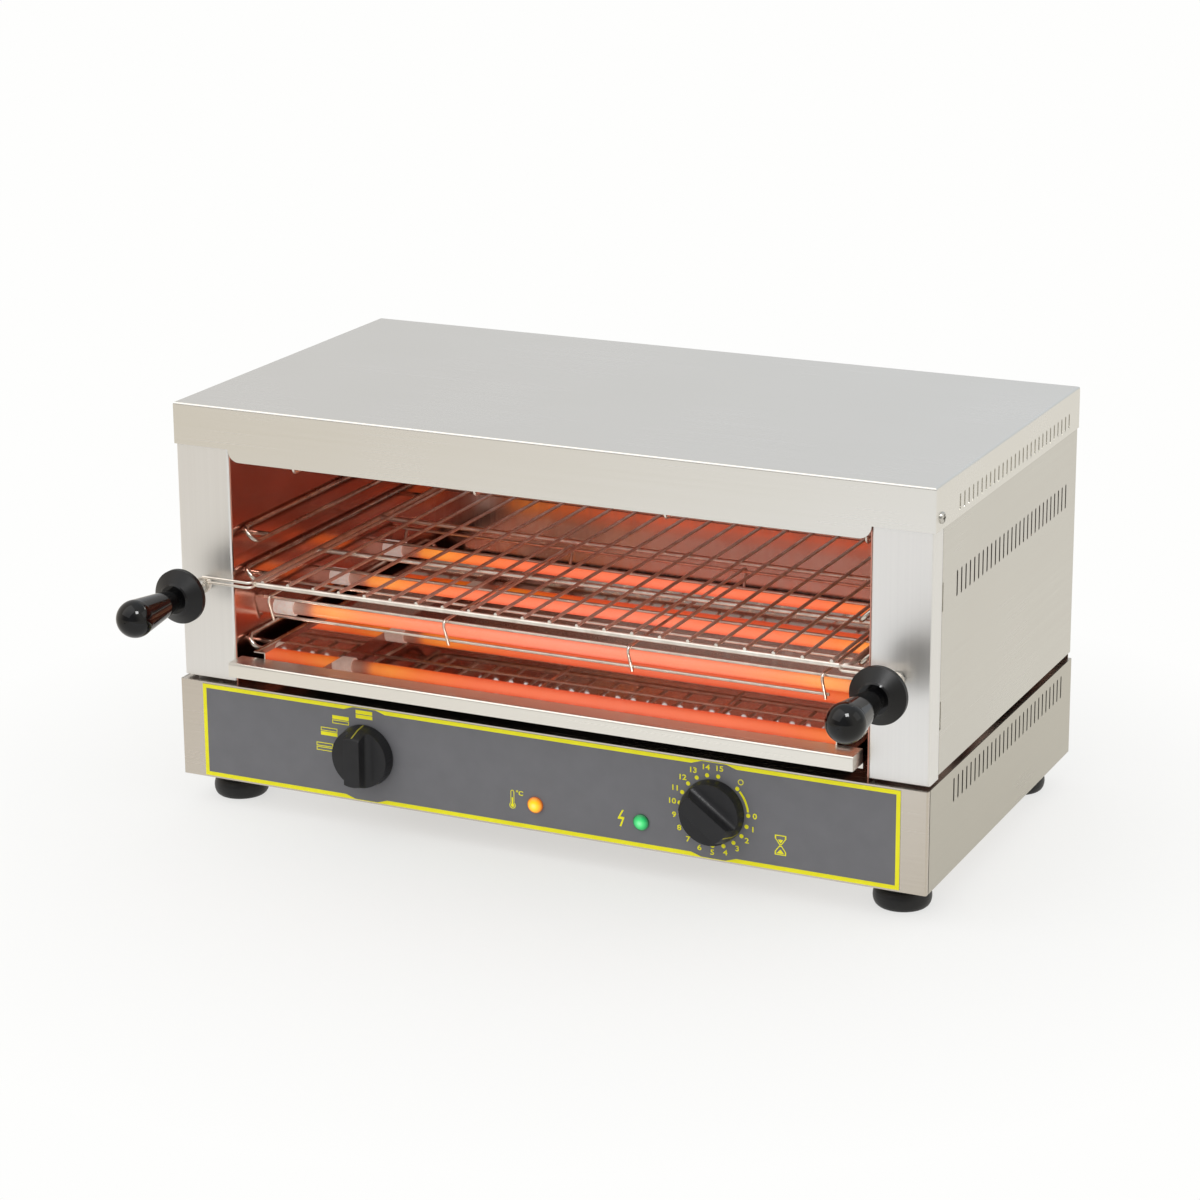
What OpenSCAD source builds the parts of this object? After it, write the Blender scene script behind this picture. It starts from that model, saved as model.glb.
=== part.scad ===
// Counter-top salamander grill: three quartz tubes below and three above a sliding wire grid.
// Millimetres, +Z up, +X to the right, and the open front faces -Y.
// The origin is on the floor under the middle of the whole outline, handles and cable gland included.
// Depths named "from the hood" are measured back from the hood's front face.

/* [Body] */
// Width over the hood and the base
body_w = 640; // [620:1:700]
// Depth of the hood from its front face to its back
body_d = 339; // [335:1:380]
// Height of the base
base_h = 81; // [78:1:100]
// Height from the base to the top of the hood
upper_h = 229; // [227:1:260]
// How far the base stands forward of the hood
base_step = 5; // [4:0.5:12]
// Depth of the ledge on top of the base's front sheet
ledge_d = 24; // [22:0.5:40]
// Length of the front sheet's folded ends
base_return = 4; // [3:0.5:6]
// Gap between a folded end and the base's side sheet
corner_gap = 1.2; // [0.5:0.1:1.5]
// Thickness of the stainless sheet
sheet = 1; // [0.8:0.1:1.2]
// Outer radius of a folded sheet edge
fold_r = 2; // [1.5:0.1:3]
// Play between pieces that are slid together
fit_clear = 0.05; // [0.03:0.01:0.1]
// Play between a sliding piece and the wire that carries it
run_clear = 0.3; // [0.3:0.05:0.6]

/* [Hood, posts and panels] */
// Height of the hood's skirt
skirt_h = 34; // [30:1:45]
// How far the front of the skirt hangs lower over the opening
tab_drop = 10; // [6:0.5:14]
// Width of a front post
post_w = 48; // [44:0.5:52]
// Depth of a front post's side return
post_d = 18; // [15:0.5:22]
// Depth of a front post's return into the opening
post_inner_d = 13; // [10:0.5:16]
// Gap between the base and the front posts
post_gap = 2.5; // [1.5:0.5:4]
// Gap between the base and the side panels
side_gap = 5.5; // [3:0.5:8]
// Seam between a post and its side panel
seam = 0.4; // [0.3:0.1:1]
// Space between the hood's top and the upper edge of posts and panels
top_room = 6; // [4:0.5:9]
// Height of the notches that show the hooks between a side panel and its post
hook_h = 22; // [15:1:28]
// Height of the lower hooks above the base
hook_low = 40; // [30:1:50]
// Height of the upper hooks above the base
hook_high = 131; // [120:1:145]
// Width of the flange down the rear edge of a side panel
flange_w = 12; // [11:1:16]
// Depth of the hood's screws from its front
hood_screw_in = 12.5; // [11:0.5:14]
// Drop from the hood's top to its screws
hood_screw_drop = 25; // [23:0.5:28]

/* [Vents] */
// Number of slots in a side row
slot_n = 28; // [10:1:28]
// Width of a slot
slot_w = 2.6; // [2:0.1:3.5]
// Depth of the first slot from the hood
slot_first = 52; // [45:1:60]
// Distance of the last slot from the back
slot_last = 27; // [20:1:35]
// Height of the slots in the hood
hood_slot_h = 12.5; // [8:0.5:14]
// Height of the slots in the side panels
side_slot_h = 20; // [12:1:30]
// Height of the slots in the base
base_slot_h = 19; // [12:1:24]
// Drop from the hood's top to the middle of its slots
hood_slot_drop = 23; // [20:0.5:25]
// Drop from the hood's top to the middle of the side panels' slots
side_slot_drop = 85; // [75:1:110]
// Drop from the base's top to the middle of its slots
base_slot_drop = 17; // [15:0.5:24]
// Number of slots in the rear panel
rear_slot_n = 31; // [11:1:31]
// Distance of the outer rear slots from the inner walls
rear_slot_side = 45; // [30:1:60]
// Width of the slots in the rear panel
rear_slot_w = 5.2; // [3:0.1:7]
// Height of the slots in the rear panel
rear_slot_h = 22; // [14:1:30]
// Drop from the hood's top to the middle of the rear slots
rear_slot_drop = 110; // [95:1:120]

/* [Tubes and reflector] */
// Space from the hood's top to the underside of the reflector
reflector_drop = 12; // [10:0.5:14]
// Height of the lower tubes above the base
tube_rise = 48; // [46:0.5:52]
// Distance from the upper tubes to the reflector
tube_drop = 16; // [14:0.5:18]
// Depth of the first tube from the hood
tube_first = 66; // [60:1:70]
// Distance of the last tube from the back
tube_last = 89; // [85:1:100]
// Outer diameter of a quartz tube
tube_d = 11; // [10:0.5:12]
// Wall of a quartz tube
tube_wall = 1.3; // [1:0.1:1.6]
// Diameter of the heating coil inside a tube
coil_d = 6; // [4:0.5:6.5]
// Diameter of a coil's straight lead
lead_d = 3; // [2:0.1:3.4]
// Length of a lead outside its cap
lead_out = 8; // [6:0.5:12]
// Wall of a ceramic cap round the tube
cap_wall = 1.4; // [1.2:0.1:2]
// Length of a cap inside the cavity
cap_in = 18; // [15:0.5:22]
// Rim of a cap's collar that bears on the inner wall
cap_collar = 3; // [2:0.5:4]
// Length of a cap outside the inner wall
cap_out = 12; // [10:0.5:14]

/* [Guards] */
// Diameter of a guard wire
guard_d = 2.6; // [2:0.1:3]
// Distance from the lower tubes to the flat of their guard
low_guard_off = 15; // [14:0.5:18]
// Distance from the upper tubes to the flat of their guard
high_guard_off = 22.5; // [22:0.5:24]
// Height of a guard's turned ends
guard_turn = 21.5; // [18:0.5:22]
// Lean of a guard's turned ends towards the tubes, in degrees
guard_lean = 24; // [10:1:28]
// Bend of a guard's turned ends
guard_bend = 4; // [3:0.5:6]
// Number of cross wires in a guard
guard_cross_n = 4; // [3:1:4]
// Distance of the first cross wire from the inner wall
guard_cross_first = 7; // [6:0.5:12]
// Distance of the last cross wire from the other inner wall
guard_cross_last = 52; // [40:1:60]
// Depth of the lower guard's front from the hood
guard_front = 41.5; // [38:1:46]
// Depth of the upper guard's front hooks from the hood
hook_front = 11.5; // [8:0.5:14]
// Distance of a guard's rear from the back
guard_back = 64; // [50:1:70]
// Number of long wires across the flat of a guard
guard_long_n = 6; // [4:1:7]

/* [Grid] */
// Height of the grid's frame above the base
grid_rise = 86.5; // [84:0.5:92]
// Diameter of the frame bars
bar_d = 4.2; // [3.8:0.1:5]
// Diameter of the wires
wire_d = 2.8; // [2.4:0.1:3.2]
// Corner bend of the frame
bar_bend = 8; // [6:0.5:12]
// Number of wires from front to back
wire_n = 22; // [12:1:22]
// Distance of the outer wires from the sides of the frame
wire_side = 12; // [11:0.5:20]
// Number of cross bars between the front and the rear
cross_n = 2; // [1:1:3]
// How far the front bar stands forward of the hood
grid_front = 0; // [0:0.5:2]
// Distance of the grid's rear bar from the back
grid_back = 21; // [18:1:30]
// Diameter of the two wires that reach out to each handle
arm_d = 2.2; // [2:0.1:2.6]
// Distance between those two wires
arm_gap = 3.8; // [3.4:0.1:4]
// How far those two wires stand forward of the hood
arm_out = 7.2; // [7:0.1:9]
// Height of the middle of those two wires above the frame
arm_rise = 0.7; // [0.4:0.1:1]
// Bend of those wires where they turn back to the frame
arm_bend = 4; // [3:0.5:5]
// Outer diameter of the eye on a handle stud
eye_d = 13; // [12:0.5:14]
// Thickness of that eye
eye_t = 4.5; // [4:0.1:5]

/* [Handles] */
// Distance from the edge of the opening to a handle's axis
handle_side = 22.7; // [20:0.1:26]
// Drop from the grid's frame to a handle's axis
handle_drop = 3.9; // [3:0.1:4.2]
// Diameter of a handle stud
stud_d = 6; // [5:0.5:7]
// Diameter of the stud's shoulder between grid and handle
shoulder_d = 10; // [9:0.5:12]
// Length of that shoulder
shoulder_l = 29.5; // [20:0.5:34]
// Depth of the stud in a handle
stud_in = 26; // [20:1:32]
// Thickness of a stud nut
stud_nut_t = 4.5; // [4:0.1:5]
// Width of a stud nut across flats
stud_nut_w = 10; // [9.5:0.5:12]
// Radius of a handle's heat collar
collar_r = 22; // [20:0.5:25]
// Thickness of the collar's rim
collar_rim = 4; // [3:0.5:6]
// Depth of the collar's cone
collar_cone = 9; // [6:0.5:12]
// Radius of the neck in front of the collar
neck_r = 8.5; // [7.5:0.5:10]
// Radius of the grip's round end
grip_r = 15; // [13:0.5:17]
// Length of a handle from the collar's back to the grip's end
handle_l = 81.5; // [70:0.5:95]

/* [Runners] */
// Diameter of a runner wire
rail_d = 4; // [3.5:0.1:4.5]
// Distance from a runner's lower wire to the inner wall
rail_off = 13; // [12.5:0.1:15]
// Distance between the two wires of a runner
rail_gap = 15; // [14:0.1:15.5]
// Depth of a runner's front end from the hood
rail_front = 14; // [12:0.5:18]
// Distance of a runner's rear end from the back
rail_back = 17; // [14:1:24]
// Height of the tray runner's lower wire above the base
tray_rail_rise = 26; // [24:0.5:28]
// Height from the grid's runner to the one above it
level_step = 33.5; // [25:0.5:40]
// Distance of a runner's welded pins from its ends
pin_inset = 24; // [18:1:40]

/* [Crumb tray] */
// Height of the tray's floor above the base
tray_rise = 8; // [7:0.5:10]
// Width of the tray's side flange
tray_flange = 10; // [6:0.5:14]
// Gap between an end of the front lip and the front post
lip_side = 5; // [4:0.5:8]
// How far the lip stands forward of the hood
lip_out = 18; // [14:0.5:22]
// Depth of the pan's front wall from the hood
lip_back = 4; // [3:0.5:6]
// Height of the pan's front and rear walls
pan_h = 16; // [14:0.5:18]
// Height of the lip's front
lip_h = 11.6; // [10:0.1:13]
// Distance of the tray's rear wall from the back
tray_back = 14; // [11:1:24]

/* [Controls] */
// Distance from the side of the base to the control overlay
overlay_side = 21; // [17:0.5:30]
// Thickness of the control overlay
overlay_t = 0.4; // [0.3:0.1:0.6]
// Margin of the overlay above and below
overlay_edge = 1.5; // [1:0.5:4]
// Distance of each knob from the middle
knob_x = 150; // [140:1:170]
// Radius of a knob at its back
knob_r = 25.3; // [24:0.1:28]
// Radius of a knob at its front
knob_front_r = 20.5; // [19:0.1:22]
// Height of a knob
knob_h = 22; // [20:0.5:24]
// Thickness of a knob beside its grip
knob_rim = 10; // [9:0.5:11]
// Width of a knob's grip
knob_grip = 14; // [12:0.5:15]
// Round at the foot of a knob's grip
knob_fillet = 5; // [3:0.5:6]
// Gap between a knob and the overlay
knob_gap = 1; // [0.8:0.1:1.5]
// Direction of the timer's grip from upright, clockwise
timer_turn = 126; // [0:1:315]
// Diameter of a knob shaft
shaft_d = 6; // [5:0.5:7]
// Diameter of a switch bushing
bush_d = 10; // [9:0.5:11]
// Length of a switch bushing in front of the overlay
bush_out = 5; // [4:0.5:5.5]
// Width of a bushing nut across flats
bush_nut_w = 14; // [13:0.5:15]
// Thickness of a bushing nut
bush_nut_t = 2.5; // [2:0.5:3]
// Side of a switch body
switch_w = 46; // [40:1:50]
// Depth of a switch body
switch_d = 40; // [34:1:50]
// Place of the temperature lamp across the panel
amber_x = 0; // [-20:1:20]
// Place of the mains lamp across the panel
green_x = 90; // [80:1:100]
// Height of the lamps above the underside of the base
lamp_rise = 22; // [18:0.5:30]
// Diameter of a lamp lens
lamp_d = 13; // [11:0.5:15]
// Diameter of a lamp's hole
lamp_hole = 10; // [8:0.5:10]
// Length of a lamp housing behind the panel
lamp_l = 20; // [14:1:28]

/* [Supply] */
// Distance of the cable gland from the right side
gland_side = 100; // [80:1:140]
// Height of the gland above the underside of the base
gland_rise = 36; // [30:1:45]
// Diameter of the gland's thread
gland_d = 16; // [14:0.5:20]
// Diameter of the cable bore
cable_d = 8.4; // [7:0.1:9]
// Width of the gland across flats
gland_w = 22; // [21:0.5:26]
// Length of the gland outside the base
gland_out = 18; // [14:0.5:24]
// Length of the terminal block
block_l = 60; // [50:1:80]
// Depth of the terminal block
block_d = 22; // [20:1:26]
// Height of the terminal block
block_h = 20; // [18:1:24]
// Distance of the terminal block from the back
block_back = 80; // [70:1:110]

/* [Feet] */
// Height of a foot
foot_h = 24; // [20:0.5:30]
// Radius of a foot
foot_r = 22.4; // [19:0.2:26]
// Depth of the bulge round a foot
foot_bulge = 4.2; // [2:0.2:5]
// Distance of a foot from the side of the base
foot_side = 31.6; // [28:0.2:40]
// Distance of a foot from the front or the back of the base
foot_end = 36.6; // [34:0.2:45]
// Diameter of a foot screw
foot_screw_d = 5; // [4:0.5:6]

/* [Hidden] */
$fn = 48;

// Main planes
half_w = body_w / 2;
reach_front = arm_out + eye_t / 2 + shoulder_l + handle_l;
reach_back = body_d + gland_out;
hood_y = (reach_front - reach_back) / 2;
back_y = hood_y + body_d;
base_y = hood_y - base_step;
base_top = foot_h + base_h;
top_z = base_top + upper_h;
skirt_z = top_z - skirt_h;
side_x = half_w - sheet;
opening_w = body_w - 2 * sheet - 2 * post_w;
wall_x = opening_w / 2 - sheet;
rear_y = back_y - 2 * sheet;
panel_y = hood_y + sheet + post_d + seam;
ceiling_z = top_z - reflector_drop;

// Screws of the sheet metal
screw_r = 1.9;
screw_hole_r = 2;
head_r = 4.5;
head_h = 2;
screw_l = 9;
hood_screw_y = hood_y + hood_screw_in;
hood_screw_z = top_z - hood_screw_drop;
rear_screw_x = side_x - sheet - flange_w / 2;
rear_screw_zs = [for (share = [0.12, 0.48, 0.84]) base_top + share * (upper_h - skirt_h)];

// Vents and guards
slot_pitch = (body_d - slot_first - slot_last) / (slot_n - 1);
rear_pitch = 2 * (wall_x - rear_slot_side) / (rear_slot_n - 1);
guard_cross_pitch = (2 * wall_x - guard_cross_first - guard_cross_last) / (guard_cross_n - 1);
guard_xs = [for (i = [0:guard_cross_n - 1]) -wall_x + guard_cross_first + i * guard_cross_pitch];
guard_weld = 0.8 * guard_d;

// Tubes, caps and coils
tube_pitch = (body_d - tube_first - tube_last) / 2;
tube_ys = [for (i = [0:2]) hood_y + tube_first + i * tube_pitch];
low_z = base_top + tube_rise;
high_z = ceiling_z - tube_drop;
cap_r = tube_d / 2 + fit_clear + cap_wall;
cap_floor = 4;
tube_end = wall_x + sheet - cap_floor;

// Grid, runners and tray: a bar rests on the slope of a runner tilted outwards by 45 degrees
grid_z = base_top + grid_rise;
rail_x = wall_x - rail_off;
grid_seat = (bar_d / 2 + rail_d / 2 + run_clear) / sqrt(2);
grid_x = rail_x - grid_seat;
wire_pitch = 2 * (grid_x - wire_side) / (wire_n - 1);
grid_rail_z = grid_z - grid_seat;
tray_rail_z = base_top + tray_rail_rise;
tray_seat = (rail_d / 2 + run_clear) / sqrt(2);
flange_x = rail_x - tray_seat;
flange_z = tray_rail_z + tray_seat;
pan_x = flange_x - tray_flange;
pan_z = base_top + tray_rise;
lip_w = opening_w - 2 * lip_side;
lip_d = lip_back + lip_out;

// Handles, from the eye on the grid forwards
handle_x = opening_w / 2 + handle_side;
handle_z = grid_z - handle_drop;
arm_y = hood_y - arm_out;
eye_y = arm_y - eye_t / 2;
shoulder_y = eye_y - shoulder_l;

// Controls
overlay_w = body_w - 2 * overlay_side;
overlay_y = base_y - overlay_t;
knob_back = overlay_y - knob_gap;
control_z = foot_h + base_h / 2;
lamp_z = foot_h + lamp_rise;

// Supply
gland_x = half_w - gland_side;
gland_z = foot_h + gland_rise;

// Feet
foot_x = half_w - foot_side;
foot_front_y = base_y + foot_end;
foot_rear_y = back_y - foot_end;
foot_places = [for (x = [-foot_x, foot_x], y = [foot_front_y, foot_rear_y]) [x, y]];
foot_head_z = 5;

steel = "#CFCBC0";
polished = "#B9B4AC";
wire_steel = "#D8D6D0";
black = "#232323";

// A box between two opposite corners
module block(low, high) {
    translate(low) cube(high - low);
}

// A round bar along X, Y or Z
module rod_x(x0, x1, y, z, d) {
    translate([x0, y, z]) rotate([0, 90, 0]) cylinder(d = d, h = x1 - x0);
}

module rod_y(x, y0, y1, z, d) {
    translate([x, y0, z]) rotate([-90, 0, 0]) cylinder(d = d, h = y1 - y0);
}

module rod_z(x, y, z0, z1, d) {
    translate([x, y, z0]) cylinder(d = d, h = z1 - z0);
}

// A bend of round wire about the origin, from one angle to another, in the XY plane
module bend(r, d, from, to) {
    rotate([0, 0, from]) rotate_extrude(angle = to - from) translate([r, 0]) circle(d = d);
}

// The same bend in the YZ plane, where the angle starts at Y and turns towards Z
module bend_yz(r, d, from, to) {
    rotate([90, 0, 90]) bend(r, d, from, to);
}

module mirrored() {
    children();
    mirror([1, 0, 0]) children();
}

// A hexagon, flat to flat
module hexagon(flats) {
    circle(d = flats / cos(30), $fn = 6);
}

// A rectangle that stands on the X axis, with round upper corners
module folded_profile(w, h, r) {
    translate([-w / 2, 0]) square([w, h - r]);
    translate([-w / 2 + r, 0]) square([w - 2 * r, h]);
    for (x = [-1, 1]) translate([x * (w / 2 - r), h - r]) circle(r = r);
}

// A block whose four upper edges are round, standing on the middle of its base
module folded_block(w, d, h, r) {
    intersection() {
        rotate([90, 0, 0]) translate([0, 0, -d / 2]) linear_extrude(d) folded_profile(w, h, r);
        rotate([90, 0, 90]) translate([0, 0, -w / 2]) linear_extrude(w) folded_profile(d, h, r);
    }
}

// An upright slot with round ends
module slot_profile(w, h) {
    square([w, h - w], center = true);
    for (z = [-1, 1]) translate([0, z * (h - w) / 2]) circle(d = w);
}

// The row of slots that is cut through a right-hand side sheet
module side_slots(x, z, h) {
    for (i = [0:slot_n - 1])
        translate([x - 2 * sheet, hood_y + slot_first + i * slot_pitch, z])
            rotate([90, 0, 90]) linear_extrude(4 * sheet) slot_profile(slot_w, h);
}

module hood_screw_hole(r) {
    rod_x(side_x - 3 * sheet, half_w + sheet, hood_screw_y, hood_screw_z, 2 * r);
}

// Hood: top, four folded skirts, and the front skirt hanging lower over the opening
module hood() {
    mid = (hood_y + back_y) / 2;
    color(steel) difference() {
        union() {
            difference() {
                translate([0, mid, skirt_z]) folded_block(body_w, body_d, skirt_h, fold_r);
                translate([0, mid, skirt_z - sheet])
                    folded_block(body_w - 2 * sheet, body_d - 2 * sheet, skirt_h, fold_r - sheet / 2);
            }
            translate([0, hood_y + sheet, skirt_z]) rotate([90, 0, 0]) linear_extrude(sheet) hood_tab();
        }
        mirrored() {
            side_slots(half_w, top_z - hood_slot_drop, hood_slot_h);
            hood_screw_hole(screw_hole_r);
        }
    }
}

// The hanging front edge, with round lower corners
module hood_tab() {
    translate([-opening_w / 2 + tab_drop, -tab_drop]) square([opening_w - 2 * tab_drop, tab_drop + sheet]);
    for (x = [-1, 1]) translate([x * (opening_w / 2 - tab_drop), 0]) circle(r = tab_drop);
}

// Front post: a folded channel behind the hood's front skirt
module post() {
    w = side_x - opening_w / 2;
    mid = (side_x + opening_w / 2) / 2;
    front = hood_y + sheet;
    z0 = base_top + post_gap;
    color(steel) difference() {
        translate([mid, front, z0]) linear_extrude(top_z - top_room - z0) difference() {
            translate([0, post_d]) mirror([0, 1]) folded_profile(w, post_d, fold_r);
            translate([0, post_d + sheet]) mirror([0, 1])
                folded_profile(w - 2 * sheet, post_d, fold_r - sheet / 2);
            translate([-w / 2 - sheet, post_inner_d]) square([3 * sheet, post_d]);
        }
        hood_screw_hole(screw_hole_r);
    }
}

// Side panel with its slots, the hooks behind the post and the rear flange
module side_panel() {
    z0 = base_top + side_gap;
    z1 = top_z - top_room;
    notch = 2.4;
    margin = 3;
    color(steel) difference() {
        union() {
            block([side_x - sheet, panel_y, z0], [side_x, back_y - sheet, z1]);
            block([side_x - flange_w - sheet, rear_y - sheet, z0], [side_x, rear_y, z1]);
            for (rise = [hook_low, hook_high])
                block([side_x - 2 * sheet, panel_y - post_d / 2, base_top + rise - margin],
                    [side_x - sheet, panel_y + post_d / 2, base_top + rise + hook_h + margin]);
        }
        for (rise = [hook_low, hook_high])
            block([side_x - sheet, panel_y - sheet, base_top + rise],
                [side_x + sheet, panel_y + notch, base_top + rise + hook_h]);
        side_slots(side_x, top_z - side_slot_drop, side_slot_h);
        for (z = rear_screw_zs) rod_y(rear_screw_x, rear_y - 3 * sheet, back_y, z, 2 * screw_hole_r);
    }
}

// Rear panel: it closes the cavity and lets the heat out through one row of slots
module rear_panel() {
    room = 0.5;
    color(steel) difference() {
        block([-side_x + sheet + room, rear_y, base_top],
            [side_x - sheet - room, back_y - sheet, top_z - top_room]);
        for (i = [0:rear_slot_n - 1])
            translate([(i - (rear_slot_n - 1) / 2) * rear_pitch, back_y, top_z - rear_slot_drop])
                rotate([90, 0, 0]) linear_extrude(4 * sheet) slot_profile(rear_slot_w, rear_slot_h);
        mirrored() for (z = rear_screw_zs) rod_y(rear_screw_x, rear_y - sheet, back_y, z, 2 * screw_hole_r);
    }
}

// Polished inner wall with a hole for each tube cap
module inner_wall() {
    foot_w = 12;
    foot_y = hood_y + post_d + 4 * sheet;
    color(polished) difference() {
        union() {
            block([wall_x, hood_y + 2 * sheet, base_top], [wall_x + sheet, rear_y, ceiling_z]);
            block([wall_x, foot_y, base_top], [wall_x + foot_w, rear_y, base_top + sheet]);
        }
        for (y = tube_ys, z = [low_z, high_z])
            rod_x(wall_x - sheet, wall_x + 2 * sheet, y, z, 2 * (cap_r + fit_clear));
    }
}

// Reflector over the upper tubes, lying on the inner walls, with a front edge turned up
module ceiling_reflector() {
    turn_h = 5;
    color(polished) {
        block([-wall_x - sheet, hood_y + 2 * sheet, ceiling_z], [wall_x + sheet, rear_y, ceiling_z + sheet]);
        block([-wall_x - sheet, hood_y + 2 * sheet, ceiling_z],
            [wall_x + sheet, hood_y + 3 * sheet, ceiling_z + turn_h]);
    }
}

// Front sheet of the base with its folded ends, its top ledge and the holes for the controls
module base_front() {
    room = 0.4;
    x = half_w - sheet - room;
    color(steel) difference() {
        union() {
            translate([0, base_y, foot_h]) linear_extrude(base_h) difference() {
                translate([0, base_return]) mirror([0, 1])
                    folded_profile(2 * half_w, base_return, fold_r - sheet / 2);
                translate([sheet - half_w, sheet]) square([2 * (half_w - sheet), base_return]);
            }
            block([-x, base_y, base_top - sheet], [x, base_y + ledge_d, base_top]);
        }
        control_holes();
    }
}

module control_holes() {
    for (x = [-knob_x, knob_x])
        rod_y(x, overlay_y - sheet, base_y + 2 * sheet, control_z, bush_d + 2 * fit_clear);
    for (x = [amber_x, green_x])
        rod_y(x, overlay_y - sheet, base_y + 2 * sheet, lamp_z, lamp_hole + 2 * fit_clear);
}

// Printed overlay on the front sheet
module control_overlay() {
    color("#6E6E70") difference() {
        block([-overlay_w / 2, overlay_y, foot_h + overlay_edge],
            [overlay_w / 2, base_y, base_top - overlay_edge]);
        control_holes();
    }
}

// Side sheet of the base, behind the folded end of the front sheet
module base_side() {
    front = base_y + base_return + corner_gap;
    color(steel) difference() {
        block([half_w - sheet, front, foot_h], [half_w, back_y, base_top]);
        side_slots(half_w, base_top - base_slot_drop, base_slot_h);
    }
}

// Rear sheet of the base with the gland's hole
module base_rear() {
    color(steel) difference() {
        block([-half_w + sheet, back_y - sheet, foot_h], [half_w - sheet, back_y, base_top]);
        rod_y(gland_x, back_y - 2 * sheet, back_y + sheet, gland_z, gland_d + 2 * fit_clear);
    }
}

// Plate between the cavity and the controls, behind the front sheet's ledge
module base_top_plate() {
    color(steel) block([-half_w + sheet, base_y + ledge_d, base_top - sheet],
        [half_w - sheet, back_y - sheet, base_top]);
}

module base_bottom_plate() {
    color(steel) difference() {
        block([-half_w + sheet, base_y + sheet, foot_h], [half_w - sheet, back_y - sheet, foot_h + sheet]);
        for (p = foot_places)
            rod_z(p[0], p[1], foot_h - sheet, foot_h + 2 * sheet, foot_screw_d + 2 * fit_clear);
    }
}

// Crumb tray: a pan hung by its flanges on the lowest runners, with a folded front lip
module crumb_tray() {
    y0 = hood_y + lip_back;
    y1 = back_y - tray_back;
    lip_mid = hood_y + (lip_back - lip_out) / 2;
    color(polished) {
        block([-pan_x, y0 - sheet, pan_z], [pan_x, y1, pan_z + sheet]);
        block([-pan_x, y1 - sheet, pan_z], [pan_x, y1, pan_z + pan_h]);
        mirrored() {
            block([pan_x - sheet, y0 - sheet, pan_z], [pan_x, y1, flange_z + sheet]);
            block([pan_x - sheet, y0, flange_z], [flange_x, y1, flange_z + sheet]);
            translate([lip_w / 2 - sheet, lip_mid, pan_z]) rotate([90, 0, 90])
                linear_extrude(sheet) lip_profile();
        }
        translate([-lip_w / 2, lip_mid, pan_z]) rotate([90, 0, 90]) linear_extrude(lip_w) difference() {
            lip_profile();
            translate([0, -sheet]) folded_profile(lip_d - 2 * sheet, pan_h, fold_r - sheet / 2);
        }
    }
}

// End view of the lip: the pan's front wall, the fold over it and the lower front
module lip_profile() {
    difference() {
        folded_profile(lip_d, pan_h, fold_r);
        translate([-lip_d / 2 - sheet, -sheet]) square([lip_d, pan_h - lip_h + sheet]);
    }
}

// Wire runner: a long closed loop tilted outwards, welded to the wall by two pins
module runner(z) {
    y0 = hood_y + rail_front;
    y1 = back_y - rail_back;
    r = rail_gap / 2;
    translate([rail_x, 0, z]) rotate([0, 45, 0]) {
        for (s = [0, rail_gap]) rod_y(0, y0 + r, y1 - r, s, rail_d);
        translate([0, y0 + r, r]) bend_yz(r, rail_d, 90, 270);
        translate([0, y1 - r, r]) bend_yz(r, rail_d, -90, 90);
    }
    for (y = [y0 + pin_inset, y1 - pin_inset]) rod_x(rail_x, wall_x, y, z, rail_d);
}

module runners() {
    color(wire_steel) for (z = [tray_rail_z, grid_rail_z, grid_rail_z + level_step]) runner(z);
}

// Wire guard over the tubes: cross wires with turned ends, welded to long wires from wall to wall.
// It is drawn about the tubes' axes, with its flat upwards.
module guard(front, off) {
    y0 = hood_y + front;
    y1 = back_y - guard_back;
    inset = guard_bend + guard_d / 2;
    first_long = hood_y + guard_front + inset;
    long_pitch = (y1 - inset - first_long) / (guard_long_n - 1);
    color(wire_steel) {
        for (x = guard_xs) rod_y(x, y0 + guard_bend, y1 - guard_bend, off, guard_d);
        for (i = [0:guard_long_n - 1])
            rod_x(-wall_x, wall_x, first_long + i * long_pitch, off - guard_weld, guard_d);
        translate([0, y0, off]) turned_end();
        translate([0, y1, off]) mirror([0, 1, 0]) turned_end();
    }
}

// Turned end of a guard: its cross wires bend down and lean back, with a wire welded along their ends.
// Past the bend the wire is drawn a little thinner, and its root lies inside the bend.
module turned_end() {
    thinned = 0.1;
    root = 0.4;
    leg = (guard_turn - guard_bend * (1 + sin(guard_lean))) / cos(guard_lean);
    translate([0, guard_bend, -guard_bend]) {
        for (x = guard_xs) translate([x, 0, 0]) bend_yz(guard_bend, guard_d, 90, 180 + guard_lean);
        rotate([guard_lean, 0, 0]) {
            for (x = guard_xs) rod_z(x, -guard_bend, -leg, root, guard_d - thinned);
            rod_x(guard_xs[0] - guard_d, guard_xs[guard_cross_n - 1] + guard_d,
                guard_weld - guard_bend, guard_d - leg, guard_d);
        }
    }
}

module lower_guard() {
    translate([0, 0, low_z]) guard(guard_front, low_guard_off);
}

module upper_guard() {
    translate([0, 0, high_z]) mirror([0, 0, 1]) mirror([1, 0, 0]) guard(hook_front, high_guard_off);
}

// Quartz tube, open at both ends
module quartz_tube(i, z) {
    color("#F0642D") difference() {
        rod_x(-tube_end + fit_clear, tube_end - fit_clear, tube_ys[i], z, tube_d);
        rod_x(-tube_end, tube_end, tube_ys[i], z, tube_d - 2 * tube_wall);
    }
}

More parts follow.
